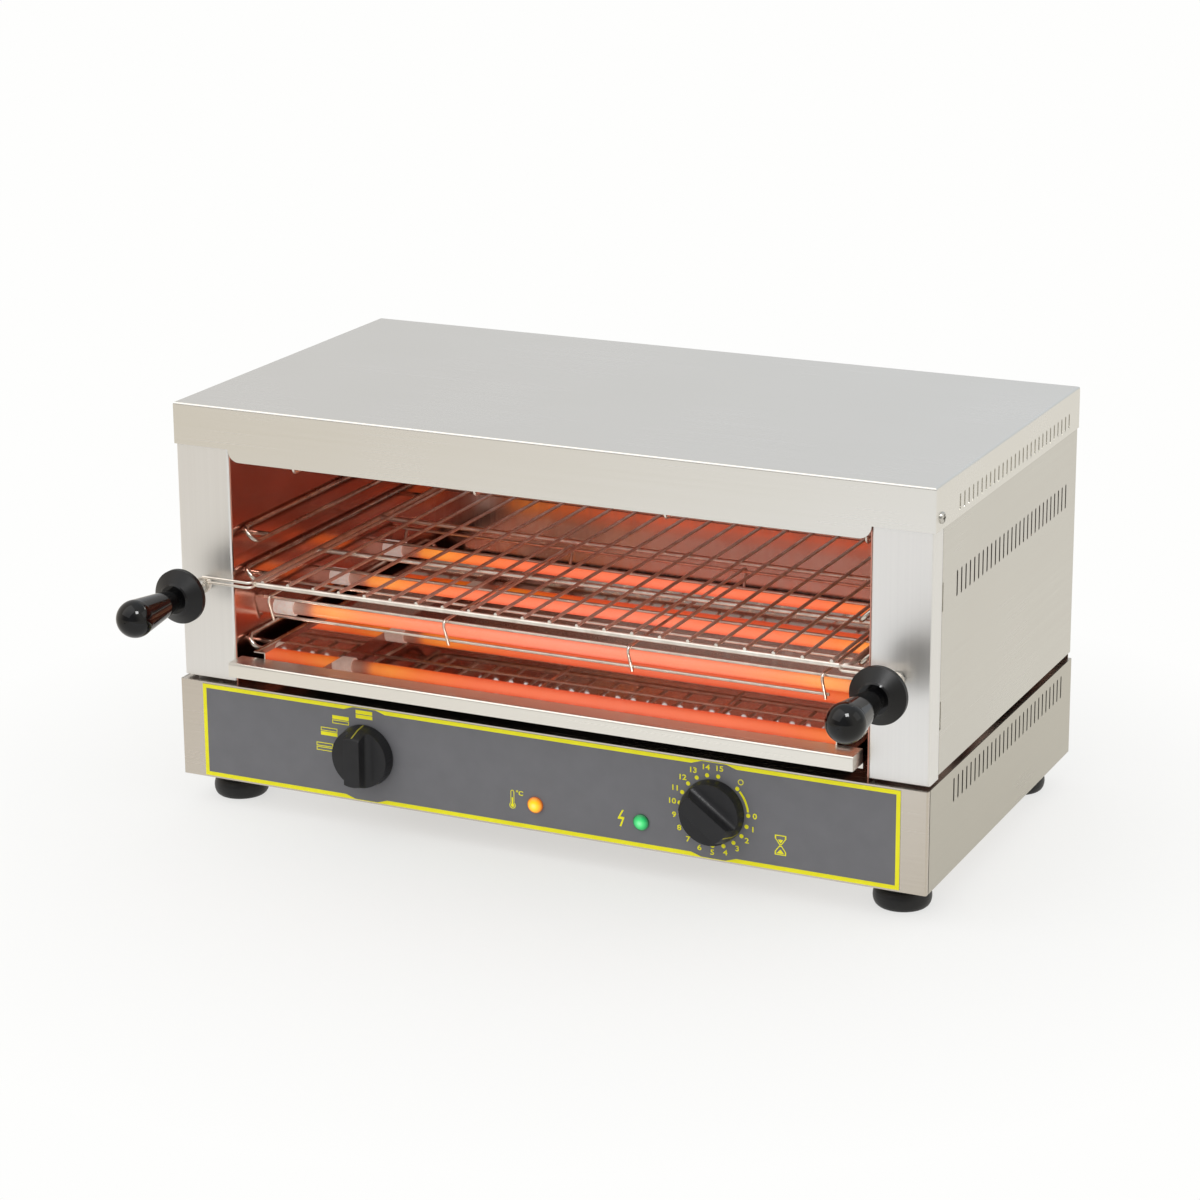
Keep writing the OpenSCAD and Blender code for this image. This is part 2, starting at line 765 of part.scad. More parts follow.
// Ceramic caps: each passes through the inner wall and bears on it with a collar
module tube_caps(z) {
    collar_t = 4;
    color("#EFEDE8") for (y = tube_ys) mirrored() difference() {
        union() {
            rod_x(wall_x - cap_in, wall_x + sheet, y, z, 2 * cap_r);
            rod_x(wall_x + sheet, wall_x + sheet + collar_t, y, z, 2 * (cap_r + cap_collar));
            rod_x(wall_x + sheet, wall_x + sheet + cap_out, y, z, tube_d);
        }
        rod_x(wall_x - cap_in - sheet, tube_end, y, z, tube_d + 2 * fit_clear);
        rod_x(wall_x - cap_in, wall_x + cap_out + 2 * sheet, y, z, lead_d + 2 * fit_clear);
    }
}

// Heating coils, drawn as the closed round of the winding, with a straight lead at each end
module heating_coils(z) {
    coil_end = wall_x - cap_in;
    lead_end = wall_x + sheet + cap_out + lead_out;
    color("#8C4A32") for (y = tube_ys) {
        rod_x(-coil_end, coil_end, y, z, coil_d);
        rod_x(-lead_end, lead_end, y, z, lead_d);
    }
}

// Sliding grid: frame, cross bars and wires, with two wires out to an eye for each handle
module grid_rack() {
    y0 = hood_y - grid_front;
    y1 = back_y - grid_back;
    weld_z = 0.8 * (bar_d + wire_d) / 2;
    color(wire_steel) {
        for (y = [y0, y1]) rod_x(bar_bend - grid_x, grid_x - bar_bend, y, grid_z, bar_d);
        for (i = [1:cross_n]) rod_x(-grid_x, grid_x, y0 + i * (y1 - y0) / (cross_n + 1), grid_z, bar_d);
        for (i = [0:wire_n - 1]) {
            x = (i - (wire_n - 1) / 2) * wire_pitch;
            rod_y(x, y0 - wire_d / 2, y1 + wire_d / 2, grid_z + weld_z, wire_d);
        }
        mirrored() {
            rod_y(grid_x, y0 + bar_bend, y1 - bar_bend, grid_z, bar_d);
            translate([grid_x - bar_bend, y0 + bar_bend, grid_z]) bend(bar_bend, bar_d, -90, 0);
            translate([grid_x - bar_bend, y1 - bar_bend, grid_z]) bend(bar_bend, bar_d, 0, 90);
            grid_arm();
        }
    }
}

// Two wires from the frame's corner, which bend outwards to the eye of a handle stud
module grid_arm() {
    eye_in = stud_d / 2 + fit_clear;
    leg_x = grid_x - bar_bend * sin(30);
    corner_y = hood_y - grid_front + bar_bend * (1 - cos(30));
    difference() {
        union() {
            for (z = [grid_z + arm_rise - arm_gap / 2, grid_z + arm_rise + arm_gap / 2]) {
                rod_y(leg_x, arm_y + arm_bend, corner_y, z, arm_d);
                translate([leg_x + arm_bend, arm_y + arm_bend, z]) bend(arm_bend, arm_d, 180, 270);
                rod_x(leg_x + arm_bend, handle_x, arm_y, z, arm_d);
            }
            rod_y(handle_x, eye_y, eye_y + eye_t, handle_z, eye_d);
        }
        rod_y(handle_x, eye_y - sheet, eye_y + eye_t + sheet, handle_z, 2 * eye_in);
    }
}

// Bakelite handle: heat collar, neck and a grip that swells to a round end
module handle() {
    cone_r = neck_r + 3;
    collar_y = collar_rim + collar_cone;
    round_y = handle_l - grip_r;
    color(black) translate([handle_x, shoulder_y, handle_z]) rotate([90, 0, 0]) difference() {
        rotate_extrude() {
            polygon([[0, 0], [collar_r, 0], [collar_r, collar_rim], [cone_r, collar_y], [0, collar_y]]);
            polygon([[0, 0], [neck_r, 0], [neck_r, collar_y], [grip_r, round_y], [0, round_y]]);
            intersection() {
                translate([0, round_y]) circle(r = grip_r);
                square([grip_r, handle_l]);
            }
        }
        translate([0, 0, -sheet]) cylinder(d = stud_d + 2 * fit_clear, h = stud_in + sheet + fit_clear);
    }
}

module handle_studs() {
    color(wire_steel) mirrored() {
        rod_y(handle_x, shoulder_y - stud_in, eye_y + eye_t + stud_nut_t, handle_z, stud_d);
        rod_y(handle_x, shoulder_y, eye_y, handle_z, shoulder_d);
    }
}

module handle_nuts() {
    nut_back = eye_y + eye_t + stud_nut_t;
    color(wire_steel) mirrored() translate([handle_x, nut_back, handle_z]) rotate([90, 0, 0])
        linear_extrude(stud_nut_t) difference() {
            hexagon(stud_nut_w);
            circle(d = stud_d + 2 * fit_clear);
        }
}

// Rotary switch or timer: a body behind the panel and a bushing through it
module switch_body(x, shade) {
    bore_in = switch_d / 4;
    bush_front = overlay_y - bush_out;
    color(shade) difference() {
        union() {
            block([x - switch_w / 2, base_y + sheet, control_z - switch_w / 2],
                [x + switch_w / 2, base_y + sheet + switch_d, control_z + switch_w / 2]);
            rod_y(x, bush_front, base_y + 2 * sheet, control_z, bush_d);
        }
        rod_y(x, bush_front - sheet, base_y + bore_in + sheet, control_z, shaft_d + 2 * fit_clear);
    }
}

module bush_nut(x) {
    color(wire_steel) translate([x, overlay_y, control_z]) rotate([90, 0, 0])
        linear_extrude(bush_nut_t) difference() {
            hexagon(bush_nut_w);
            circle(d = bush_d + 2 * fit_clear);
        }
}

module knob_shaft(x) {
    color(wire_steel)
        rod_y(x, knob_back - 0.75 * knob_h, base_y + switch_d / 4, control_z, shaft_d);
}

// Knob: a tapered round body, cut down on both sides of a straight grip
module knob(x, turn) {
    side = knob_grip / 2 + knob_fillet;
    floor_z = knob_rim + knob_fillet;
    hollow = bush_out + 2 * knob_gap;
    hollow_r = bush_nut_w / 2 + 4;
    chamfer = 0.8;
    taper = 1.1;
    color(black) translate([x, knob_back, control_z]) rotate([0, turn, 0]) rotate([90, 0, 0]) difference() {
        rotate_extrude() polygon([[0, 0], [knob_r, 0], [knob_r - taper, knob_rim],
            [knob_front_r, knob_h - chamfer], [knob_front_r - chamfer, knob_h], [0, knob_h]]);
        mirrored() {
            block([knob_grip / 2, -knob_r, floor_z], [knob_r, knob_r, 2 * knob_h]);
            block([side, -knob_r, knob_rim], [knob_r, knob_r, 2 * knob_h]);
            rod_y(side, -knob_r, knob_r, floor_z, 2 * knob_fillet);
        }
        translate([0, 0, -sheet]) cylinder(r = hollow_r, h = hollow + sheet);
        cylinder(d = shaft_d + 2 * fit_clear, h = 0.75 * knob_h + fit_clear);
    }
}

// Lamp lens: a domed cap on the overlay with a stem in the housing
module lamp_lens(x, shade) {
    rim = 1.2;
    stem = 6;
    color(shade) translate([x, overlay_y, lamp_z]) rotate([90, 0, 0]) {
        cylinder(d = lamp_d, h = rim);
        translate([0, 0, rim]) intersection() {
            translate([0, 0, -lamp_d / 2]) sphere(d = 1.42 * lamp_d);
            cylinder(d = lamp_d, h = lamp_d);
        }
        translate([0, 0, -stem]) cylinder(d = lamp_hole, h = stem);
    }
}

module lamp_housings() {
    stem = 6;
    wall = 2;
    color("#E4E1D8") for (x = [amber_x, green_x]) difference() {
        rod_y(x, base_y + sheet, base_y + sheet + lamp_l, lamp_z, lamp_hole + 2 * wall);
        rod_y(x, base_y, overlay_y + stem + fit_clear, lamp_z, lamp_hole + 2 * fit_clear);
    }
}

// Supply terminals on the bottom plate, next to the gland
module terminal_block() {
    poles = 3;
    pitch = block_l / poles;
    y = back_y - block_back;
    z = foot_h + sheet;
    color("#E4E1D8") difference() {
        block([gland_x - block_l / 2, y, z], [gland_x + block_l / 2, y + block_d, z + block_h]);
        for (i = [0:poles - 1]) {
            x = gland_x - block_l / 2 + (i + 0.5) * pitch;
            rod_z(x, y + block_d / 2, z + block_h / 2, z + block_h + sheet, 6);
            rod_y(x, y - sheet, y + block_d + sheet, z + block_h / 2, 5);
        }
    }
}

// Cable gland: flange and dome outside, thread inside, open for the cable
module cable_gland() {
    flange_t = 5;
    thread = 14;
    color(black) translate([gland_x, back_y, gland_z]) rotate([-90, 0, 0]) difference() {
        union() {
            linear_extrude(flange_t) hexagon(gland_w);
            cylinder(d = gland_w - 3, h = gland_out - 3);
            cylinder(d = gland_w - 7, h = gland_out);
            translate([0, 0, -thread]) cylinder(d = gland_d, h = thread);
        }
        translate([0, 0, -thread - 1]) cylinder(d = cable_d, h = gland_out + thread + 2);
    }
}

module gland_nut() {
    nut_t = 5;
    color(black) translate([gland_x, back_y - sheet, gland_z]) rotate([90, 0, 0])
        linear_extrude(nut_t) difference() {
            hexagon(gland_w);
            circle(d = gland_d + 2 * fit_clear);
        }
}

// Foot: a wide tread under a narrower hub, with a recess for its screw
module foot(x, y) {
    tread = 0.62 * foot_h;
    hub_r = foot_r - foot_bulge;
    bulge = [for (a = [-90:18:90]) [hub_r + foot_bulge * cos(a), tread / 2 * (1 + sin(a))]];
    color(black) translate([x, y, 0]) difference() {
        rotate_extrude() polygon(concat([[0, 0]], bulge, [[hub_r - 1, foot_h], [0, foot_h]]));
        translate([0, 0, -1]) cylinder(d = foot_screw_d + 2 * fit_clear, h = foot_h + 2);
        translate([0, 0, -1]) cylinder(d = 2 * foot_screw_d + 1, h = foot_head_z + 1);
    }
}

module foot_screws() {
    head_t = 3;
    above = 7;
    color(wire_steel) for (p = foot_places) {
        rod_z(p[0], p[1], foot_head_z - head_t, foot_h + sheet + above, foot_screw_d);
        rod_z(p[0], p[1], foot_head_z - head_t, foot_head_z, 2 * foot_screw_d);
    }
}

module foot_nuts() {
    nut_t = 4;
    color(wire_steel) for (p = foot_places) translate([p[0], p[1], foot_h + sheet]) linear_extrude(nut_t)
        difference() {
            hexagon(1.6 * foot_screw_d);
            circle(d = foot_screw_d + 2 * fit_clear);
        }
}

module hood_screws() {
    color(wire_steel) mirrored() {
        rod_x(half_w - screw_l, half_w, hood_screw_y, hood_screw_z, 2 * screw_r);
        rod_x(half_w, half_w + head_h, hood_screw_y, hood_screw_z, 2 * head_r);
    }
}

module rear_panel_screws() {
    y = back_y - sheet;
    color(wire_steel) mirrored() for (z = rear_screw_zs) {
        rod_y(rear_screw_x, y - screw_l, y, z, 2 * screw_r);
        rod_y(rear_screw_x, y, y + head_h, z, 2 * head_r);
    }
}

hood();
mirror([1, 0, 0]) post();  // left_post
post();  // right_post
mirror([1, 0, 0]) side_panel();  // left_side_panel
side_panel();  // right_side_panel
rear_panel();
mirror([1, 0, 0]) inner_wall();  // left_inner_wall
inner_wall();  // right_inner_wall
ceiling_reflector();
base_front();
control_overlay();
mirror([1, 0, 0]) base_side();  // base_left_side
base_side();  // base_right_side
base_rear();
base_top_plate();
base_bottom_plate();
crumb_tray();
mirror([1, 0, 0]) runners();  // left_runners
runners();  // right_runners
lower_guard();
upper_guard();
quartz_tube(0, low_z);  // lower_front_tube
quartz_tube(1, low_z);  // lower_middle_tube
quartz_tube(2, low_z);  // lower_rear_tube
quartz_tube(0, high_z);  // upper_front_tube
quartz_tube(1, high_z);  // upper_middle_tube
quartz_tube(2, high_z);  // upper_rear_tube
tube_caps(low_z);  // lower_tube_caps
tube_caps(high_z);  // upper_tube_caps
heating_coils(low_z);  // lower_heating_coils
heating_coils(high_z);  // upper_heating_coils
grid_rack();
mirror([1, 0, 0]) handle();  // left_handle
handle();  // right_handle
handle_studs();
handle_nuts();
switch_body(-knob_x, "#3A3A3C");  // selector_switch
bush_nut(-knob_x);  // selector_nut
knob_shaft(-knob_x);  // selector_shaft
knob(-knob_x, 0);  // selector_knob
switch_body(knob_x, "#C9C4B8");  // timer
bush_nut(knob_x);  // timer_nut
knob_shaft(knob_x);  // timer_shaft
knob(knob_x, timer_turn);  // timer_knob
lamp_lens(amber_x, "#F59A23");  // amber_lamp_lens
lamp_lens(green_x, "#3BBF6B");  // green_lamp_lens
lamp_housings();
terminal_block();
cable_gland();
gland_nut();
foot(-foot_x, foot_front_y);  // front_left_foot
foot(foot_x, foot_front_y);  // front_right_foot
foot(-foot_x, foot_rear_y);  // rear_left_foot
foot(foot_x, foot_rear_y);  // rear_right_foot
foot_screws();
foot_nuts();
hood_screws();
rear_panel_screws();
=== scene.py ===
"""Looks of a counter-top salamander grill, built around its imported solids.

The grill is an open-fronted stainless cabinet with glowing quartz tubes above and below a sliding wire grid,
bakelite handles, a crumb tray and a printed control panel on the base. Sizes are in millimetres where a name
says so, and in metres, the frame's unit, everywhere else.
"""

import logging
import math
from collections.abc import Callable, Iterable, Sequence
from dataclasses import dataclass
from enum import Enum

import bpy
from mathutils import Matrix, Vector


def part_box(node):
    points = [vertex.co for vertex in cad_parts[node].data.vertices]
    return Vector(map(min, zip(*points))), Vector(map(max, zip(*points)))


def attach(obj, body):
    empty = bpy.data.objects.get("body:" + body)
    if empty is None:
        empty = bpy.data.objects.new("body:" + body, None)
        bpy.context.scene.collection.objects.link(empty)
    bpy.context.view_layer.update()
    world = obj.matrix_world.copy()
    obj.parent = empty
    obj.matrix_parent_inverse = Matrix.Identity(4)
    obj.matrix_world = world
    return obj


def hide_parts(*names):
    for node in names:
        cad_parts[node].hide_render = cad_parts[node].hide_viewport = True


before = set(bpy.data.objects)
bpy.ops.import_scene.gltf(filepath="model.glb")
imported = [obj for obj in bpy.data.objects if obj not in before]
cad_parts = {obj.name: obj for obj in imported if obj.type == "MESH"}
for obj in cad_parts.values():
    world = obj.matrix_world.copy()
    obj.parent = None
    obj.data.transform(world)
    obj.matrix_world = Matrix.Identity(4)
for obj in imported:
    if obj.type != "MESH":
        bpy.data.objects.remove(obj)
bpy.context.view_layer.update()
MM = 0.001
# The range in which most values of a random pattern lie
LOW, HIGH = 0.3, 0.7
log = logging.getLogger("salamander_grill")

Tree = bpy.types.NodeTree
Node = bpy.types.Node
Socket = bpy.types.NodeSocket
Object = bpy.types.Object
Point = tuple[float, float]
Loop = list[Point]
Stops = Sequence[tuple[float, str]]
Colour = tuple[float, float, float, float]


class Axis(Enum):
    """A direction through the grill, as the index of its axis."""

    ACROSS = 0
    DEEP = 1
    UPRIGHT = 2


class Body(Enum):
    """The bodies that the pieces made here ride on."""

    CABINET = "cabinet"
    SELECTOR = "selector"
    TIMER = "timer_dial"


def linear(code: str) -> Colour:
    """Turn an sRGB hex colour into the linear colour that a shader reads.

    Args:
        code: The colour, such as "#C0FFEE".

    Returns:
        Red, green, blue and an alpha of 1.
    """
    parts = [int(code[i:i + 2], 16) / 255 for i in (1, 3, 5)]
    red, green, blue = (c / 12.92 if c <= 0.04045 else ((c + 0.055) / 1.055) ** 2.4 for c in parts)
    return red, green, blue, 1.0


def add_node(tree: Tree, kind: str, inputs: dict | None = None, stops: Stops = (),
             **settings: object) -> Node:
    """Add a shader node with its settings and links.

    Args:
        tree: The node tree that gets the node.
        kind: The node's type, without its "ShaderNode" prefix.
        inputs: For each socket, by name or number, a constant, or the output that is linked to it. A node
            stands for its first output.
        stops: The places of a colour ramp from 0 to 1, each with its sRGB colour.
        settings: Attributes of the node itself.

    Returns:
        The new node.
    """
    node = tree.nodes.new("ShaderNode" + kind)
    for name, value in settings.items():
        setattr(node, name, value)
    for socket, value in (inputs or {}).items():
        if isinstance(value, Node):
            value = value.outputs[0]
        if isinstance(value, Socket):
            tree.links.new(value, node.inputs[socket])
        else:
            node.inputs[socket].default_value = value
    if stops:
        elements = node.color_ramp.elements
        while len(elements) < len(stops):
            elements.new(0.5)
        for element, (place, code) in zip(elements, stops):
            element.position = place
            element.color = linear(code)
    return node


def cleared(owner: bpy.types.Material | bpy.types.World) -> Tree:
    """Give a material or a world an empty node tree.

    Args:
        owner: The material or the world.

    Returns:
        Its node tree.
    """
    owner.use_nodes = True
    owner.node_tree.nodes.clear()
    return owner.node_tree


@dataclass(frozen=True)
class Finish:
    """A surface, named for its material and for how it was made."""

    name: str

    def shade(self, tree: Tree) -> Node:
        """Add the finish's nodes.

        Args:
            tree: The material's node tree.

        Returns:
            The shader node that goes to the output.
        """
        raise NotImplementedError

    def material(self) -> bpy.types.Material:
        """Make the finish's material, or give the one that is there already.

        Returns:
            The material.
        """
        found = bpy.data.materials.get(self.name)
        if found:
            return found
        made = bpy.data.materials.new(self.name)
        tree = cleared(made)
        add_node(tree, "OutputMaterial", {"Surface": self.shade(tree)})
        return made

    def dress(self, *objects: Object) -> None:
        """Give these objects the finish, and nothing else.

        Args:
            objects: The objects, each with its own mesh.
        """
        for obj in objects:
            obj.data.materials.clear()
            obj.data.materials.append(self.material())

    def dress_nodes(self, *names: str) -> None:
        """Give these CAD nodes the finish."""
        self.dress(*(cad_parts[name] for name in names))
        log.info("%s: %s", self.name, ", ".join(names))


def pattern(tree: Tree, spacing_mm: Sequence[float], detail: float = 2.0) -> Node:
    """Add a random pattern at its real size, on the object's own coordinates.

    Args:
        tree: The material's node tree.
        spacing_mm: The size of a feature along X, Y and Z.
        detail: How many finer layers the pattern has.

    Returns:
        The pattern, whose values lie mostly from LOW to HIGH.
    """
    place = add_node(tree, "TexCoord").outputs["Object"]
    scaled = add_node(tree, "Mapping", {"Vector": place, "Scale": [1 / (size * MM) for size in spacing_mm]})
    return add_node(tree, "TexNoise", {"Vector": scaled, "Scale": 1.0, "Detail": detail})


def along(tree: Tree, axis: str) -> Socket:
    """Read one of the object's own coordinates, in metres."""
    place = add_node(tree, "TexCoord").outputs["Object"]
    return add_node(tree, "SeparateXYZ", {0: place}).outputs[axis]


@dataclass(frozen=True)
class BrushedStainless(Finish):
    """Stainless sheet brushed with a belt: a soft grey sheen with fine streaks along the grain.

    A belt's scratches are a tenth of a millimetre apart, too fine to show, so they are drawn coarser.
    """

    grain: Axis = Axis.ACROSS
    light: str = "#D5D3CC"
    dark: str = "#D0CDC6"
    roughness: float = 0.25
    streak_mm: float = 2.2
    streak_length_mm: float = 320.0
    smudge_mm: float = 160.0
    mixed_range: Point = (0.375, 0.625)
    swing: float = 0.03
    scratch_mm: float = 0.01
    scratch_share: float = 0.015

    def shade(self, tree: Tree) -> Node:
        """Add streaks along the grain to colour, roughness and relief, with soft smudges over them.

        Args:
            tree: The material's node tree.

        Returns:
            The shader node that goes to the output.
        """
        spacing = [self.streak_mm] * 3
        spacing[self.grain.value] = self.streak_length_mm
        streaks = pattern(tree, spacing, detail=3.0)
        smudges = pattern(tree, [self.smudge_mm] * 3)
        mixed = add_node(tree, "Mix", {0: 0.5, 2: streaks, 3: smudges})
        low, high = self.mixed_range
        return add_node(tree, "BsdfPrincipled", {
            "Base Color": add_node(tree, "ValToRGB", {0: mixed},
                                   stops=((low, self.dark), (high, self.light))),
            "Metallic": 1.0,
            "Roughness": add_node(tree, "MapRange", {
                "Value": mixed, "From Min": low, "From Max": high,
                "To Min": self.roughness - self.swing, "To Max": self.roughness + self.swing}),
            "Normal": add_node(tree, "Bump", {
                "Height": streaks, "Distance": self.scratch_mm * MM, "Strength": self.scratch_share}),
        })


@dataclass(frozen=True)
class PolishedStainless(Finish):
    """Bright rolled stainless, browned by heat and reddened as a painted reflection of the tubes' glow:
    nearly a mirror, with faint clouds and wiping marks.
    """

    # The red in both colours is partly heat tint and partly a painted reflection of the glowing tubes
    light: str = "#D2A99C"
    dark: str = "#C09488"
    roughness: float = 0.20
    wipe_mm: float = 3.0
    wipe_length_mm: float = 220.0
    cloud_mm: float = 70.0

    def shade(self, tree: Tree) -> Node:
        """Add faint wiping marks and clouds of heat tint, reddened as a painted reflection of the tubes'
        glow.

        Args:
            tree: The material's node tree.

        Returns:
            The shader node that goes to the output.
        """
        wipes = pattern(tree, [self.wipe_mm, self.wipe_length_mm, self.wipe_length_mm])
        clouds = pattern(tree, [self.cloud_mm] * 3, detail=3.0)
        return add_node(tree, "BsdfPrincipled", {
            "Base Color": add_node(tree, "ValToRGB", {0: clouds},
                                   stops=((LOW, self.dark), (HIGH, self.light))),
            "Metallic": 1.0,
            "Roughness": add_node(tree, "MapRange", {
                "Value": wipes, "From Min": LOW, "From Max": HIGH,
                "To Min": 0.8 * self.roughness, "To Max": 1.3 * self.roughness}),
            "Normal": add_node(tree, "Bump", {"Height": clouds, "Distance": 0.05 * MM, "Strength": 0.05}),
        })


@dataclass(frozen=True)
class HalfBrushed(PolishedStainless):
    """A sheet that is polished towards the cavity and brushed outside, which is told by depth."""

    outside: str = "#CAC6BE"
    outside_roughness: float = 0.30
    swing: float = 0.03
    streak_mm: float = 2.2
    streak_length_mm: float = 320.0
    scratch_mm: float = 0.01
    scratch_share: float = 0.03
    edge_y: float = 0.0
    brushed_behind: bool = True

    def shade(self, tree: Tree) -> Node:
        """Mix the polished part with a brushed one in front of the edge or behind it.

        Args:
            tree: The material's node tree.

        Returns:
            The shader node that goes to the output.
        """
        polished = super().shade(tree)
        side = "GREATER_THAN" if self.brushed_behind else "LESS_THAN"
        share = add_node(tree, "Math", {0: along(tree, "Y"), 1: self.edge_y}, operation=side)
        streaks = pattern(tree, [self.streak_length_mm, self.streak_mm, self.streak_mm], detail=3.0)
        brushed = add_node(tree, "BsdfPrincipled", {
            "Base Color": linear(self.outside),
            "Metallic": 1.0,
            "Roughness": add_node(tree, "MapRange", {
                "Value": streaks, "From Min": LOW, "From Max": HIGH,
                "To Min": self.outside_roughness - self.swing,
                "To Max": self.outside_roughness + self.swing}),
            "Normal": add_node(tree, "Bump", {
                "Height": streaks, "Distance": self.scratch_mm * MM, "Strength": self.scratch_share}),
        })
        return add_node(tree, "MixShader", {0: share, 1: polished, 2: brushed})


@dataclass(frozen=True)
class DrawnWire(Finish):
    """Drawn stainless wire: bright, with darker and duller spots of weld colour."""

    light: str = "#D9D4CA"
    dark: str = "#A89E94"
    roughness: float = 0.20
    spot_mm: float = 9.0

    def shade(self, tree: Tree) -> Node:
        """Add blotches of weld colour to a bright wire.

        Args:
            tree: The material's node tree.

        Returns:
            The shader node that goes to the output.
        """
        spots = pattern(tree, [self.spot_mm] * 3, detail=3.0)
        return add_node(tree, "BsdfPrincipled", {
            "Base Color": add_node(tree, "ValToRGB", {0: spots},
                                   stops=((LOW, self.dark), (HIGH, self.light))),
            "Metallic": 1.0,
            "Roughness": add_node(tree, "MapRange", {
                "Value": spots, "From Min": LOW, "From Max": HIGH,
                "To Min": self.roughness + 0.08, "To Max": self.roughness - 0.04}),
        })


@dataclass(frozen=True)
class GlowingQuartz(Finish):
    """Satin quartz lit from inside: orange red in the middle, yellow near the ends, clear at the caps."""

    half_length: float = 0.25
    strength: float = 1.0
    rim: str = "#D8785C"
    glow: Stops = ((0.0, "#FF7E58"), (0.50, "#FF7A4C"), (0.70, "#FF8438"), (0.80, "#FF9E38"),
                   (0.865, "#F08E34"), (0.89, "#A85C40"), (0.91, "#805A4C"), (1.0, "#9A786A"))
    milk: Stops = ((0.0, "#BC9084"), (0.86, "#BC9078"), (0.90, "#A58C80"), (1.0, "#CFC4BA"))
    frost_mm: float = 0.8

    def shade(self, tree: Tree) -> Node:
        """Colour the glow by the distance from the middle of the tube, and deepen it at the rim.

        Args:
            tree: The material's node tree.

        Returns:
            The shader node that goes to the output.
        """
        distance = add_node(tree, "Math", {0: along(tree, "X")}, operation="ABSOLUTE")
        share = add_node(tree, "MapRange", {"Value": distance, "From Max": self.half_length})
        frost = pattern(tree, [self.frost_mm] * 3)
        edge = add_node(tree, "LayerWeight", {"Blend": 0.5}).outputs["Facing"]
        glow = add_node(tree, "ValToRGB", {0: share}, stops=self.glow)
        deepened = add_node(tree, "Mix", {0: edge, 6: glow, 7: linear(self.rim)}, data_type="RGBA",
                            blend_type="MULTIPLY")
        return add_node(tree, "BsdfPrincipled", {
            "Base Color": add_node(tree, "ValToRGB", {0: share}, stops=self.milk),
            "Roughness": add_node(tree, "MapRange", {
                "Value": frost, "From Min": LOW, "From Max": HIGH, "To Min": 0.22, "To Max": 0.34}),
            "IOR": 1.46,
            "Emission Color": deepened.outputs[2],
            "Emission Strength": self.strength,
        })


@dataclass(frozen=True)
class Steatite(Finish):
    """Fired steatite: chalky white with a faint mottle, and a painted glow that stands for light coming
    through from the hot end of the tube.
    """

    light: str = "#F1EDE6"
    dark: str = "#D9CFC4"
    # lit is the colour of a painted glow: emission on the ceramic that stands for light from the tube
    lit: str = "#DCC4BA"
    painted_glow_strength: float = 0.42
    mottle_mm: float = 4.0

    def shade(self, tree: Tree) -> Node:
        """Add the mottle of a dry ceramic, and its painted glow.

        Args:
            tree: The material's node tree.

        Returns:
            The shader node that goes to the output.
        """
        mottle = pattern(tree, [self.mottle_mm] * 3, detail=4.0)
        return add_node(tree, "BsdfPrincipled", {
            "Base Color": add_node(tree, "ValToRGB", {0: mottle},
                                   stops=((LOW, self.dark), (HIGH, self.light))),
            "Roughness": add_node(tree, "MapRange", {
                "Value": mottle, "From Min": LOW, "From Max": HIGH, "To Min": 0.60, "To Max": 0.75}),
            "IOR": 1.58,
            "Normal": add_node(tree, "Bump", {"Height": mottle, "Distance": 0.08 * MM, "Strength": 0.3}),
            "Emission Color": linear(self.lit),
            "Emission Strength": self.painted_glow_strength,
        })


@dataclass(frozen=True)
class Moulded(Finish):
    """A moulded plastic or rubber: one colour with a fine grain from the mould.

    The grain of a mould is about a tenth of a millimetre, and it is drawn coarser so that it shows.
    """

    light: str = "#262628"
    dark: str = "#1C1C1E"
    roughness: float = 0.45
    grain_mm: float = 0.9
    cloud_mm: float = 18.0
    relief_mm: float = 0.03
    relief: float = 0.15
    gloss: float = 0.5
    ior: float = 1.5

    def rough(self, tree: Tree, grain: Node) -> Node:
        """Vary the roughness a little over the mould's grain."""
        return add_node(tree, "MapRange", {
            "Value": grain, "From Min": LOW, "From Max": HIGH,
            "To Min": 0.88 * self.roughness, "To Max": 1.12 * self.roughness})

    def shade(self, tree: Tree) -> Node:
        """Add the mould's grain and soft clouds in the colour.

        Args:
            tree: The material's node tree.

        Returns:
            The shader node that goes to the output.
        """
        grain = pattern(tree, [self.grain_mm] * 3, detail=3.0)
        clouds = pattern(tree, [self.cloud_mm] * 3)
        return add_node(tree, "BsdfPrincipled", {
            "Base Color": add_node(tree, "ValToRGB", {0: clouds},
                                   stops=((LOW, self.dark), (HIGH, self.light))),
            "Roughness": self.rough(tree, grain),
            "IOR": self.ior,
            "Specular IOR Level": self.gloss,
            "Normal": add_node(tree, "Bump", {
                "Height": grain, "Distance": self.relief_mm * MM, "Strength": self.relief}),
        })


@dataclass(frozen=True)
class Bakelite(Moulded):
    """Black bakelite: the grip is polished like glass, and the collar behind it is left as it was moulded."""

    collar_y: float = 0.0
    collar_roughness: float = 0.42
    step_mm: float = 1.0

    def rough(self, tree: Tree, grain: Node) -> Node:
        """Step from the polished grip to the dull collar, and leave the grain out of it."""
        half = self.step_mm * MM / 2
        return add_node(tree, "MapRange", {
            "Value": along(tree, "Y"), "From Min": self.collar_y - half, "From Max": self.collar_y + half,
            "To Min": self.roughness, "To Max": self.collar_roughness})


@dataclass(frozen=True)
class Printed(Moulded):
    """Ink or film from a screen press: flat and satin, with only a trace of tooth."""

    roughness: float = 0.5
    relief: float = 0.05
    gloss: float = 0.3


@dataclass(frozen=True)
class OxidisedWire(Moulded):
    """Heating wire under a skin of oxide: dull brown, with none of the metal's shine left."""

    light: str = "#6A3A28"
    dark: str = "#4A2A20"
    roughness: float = 0.6


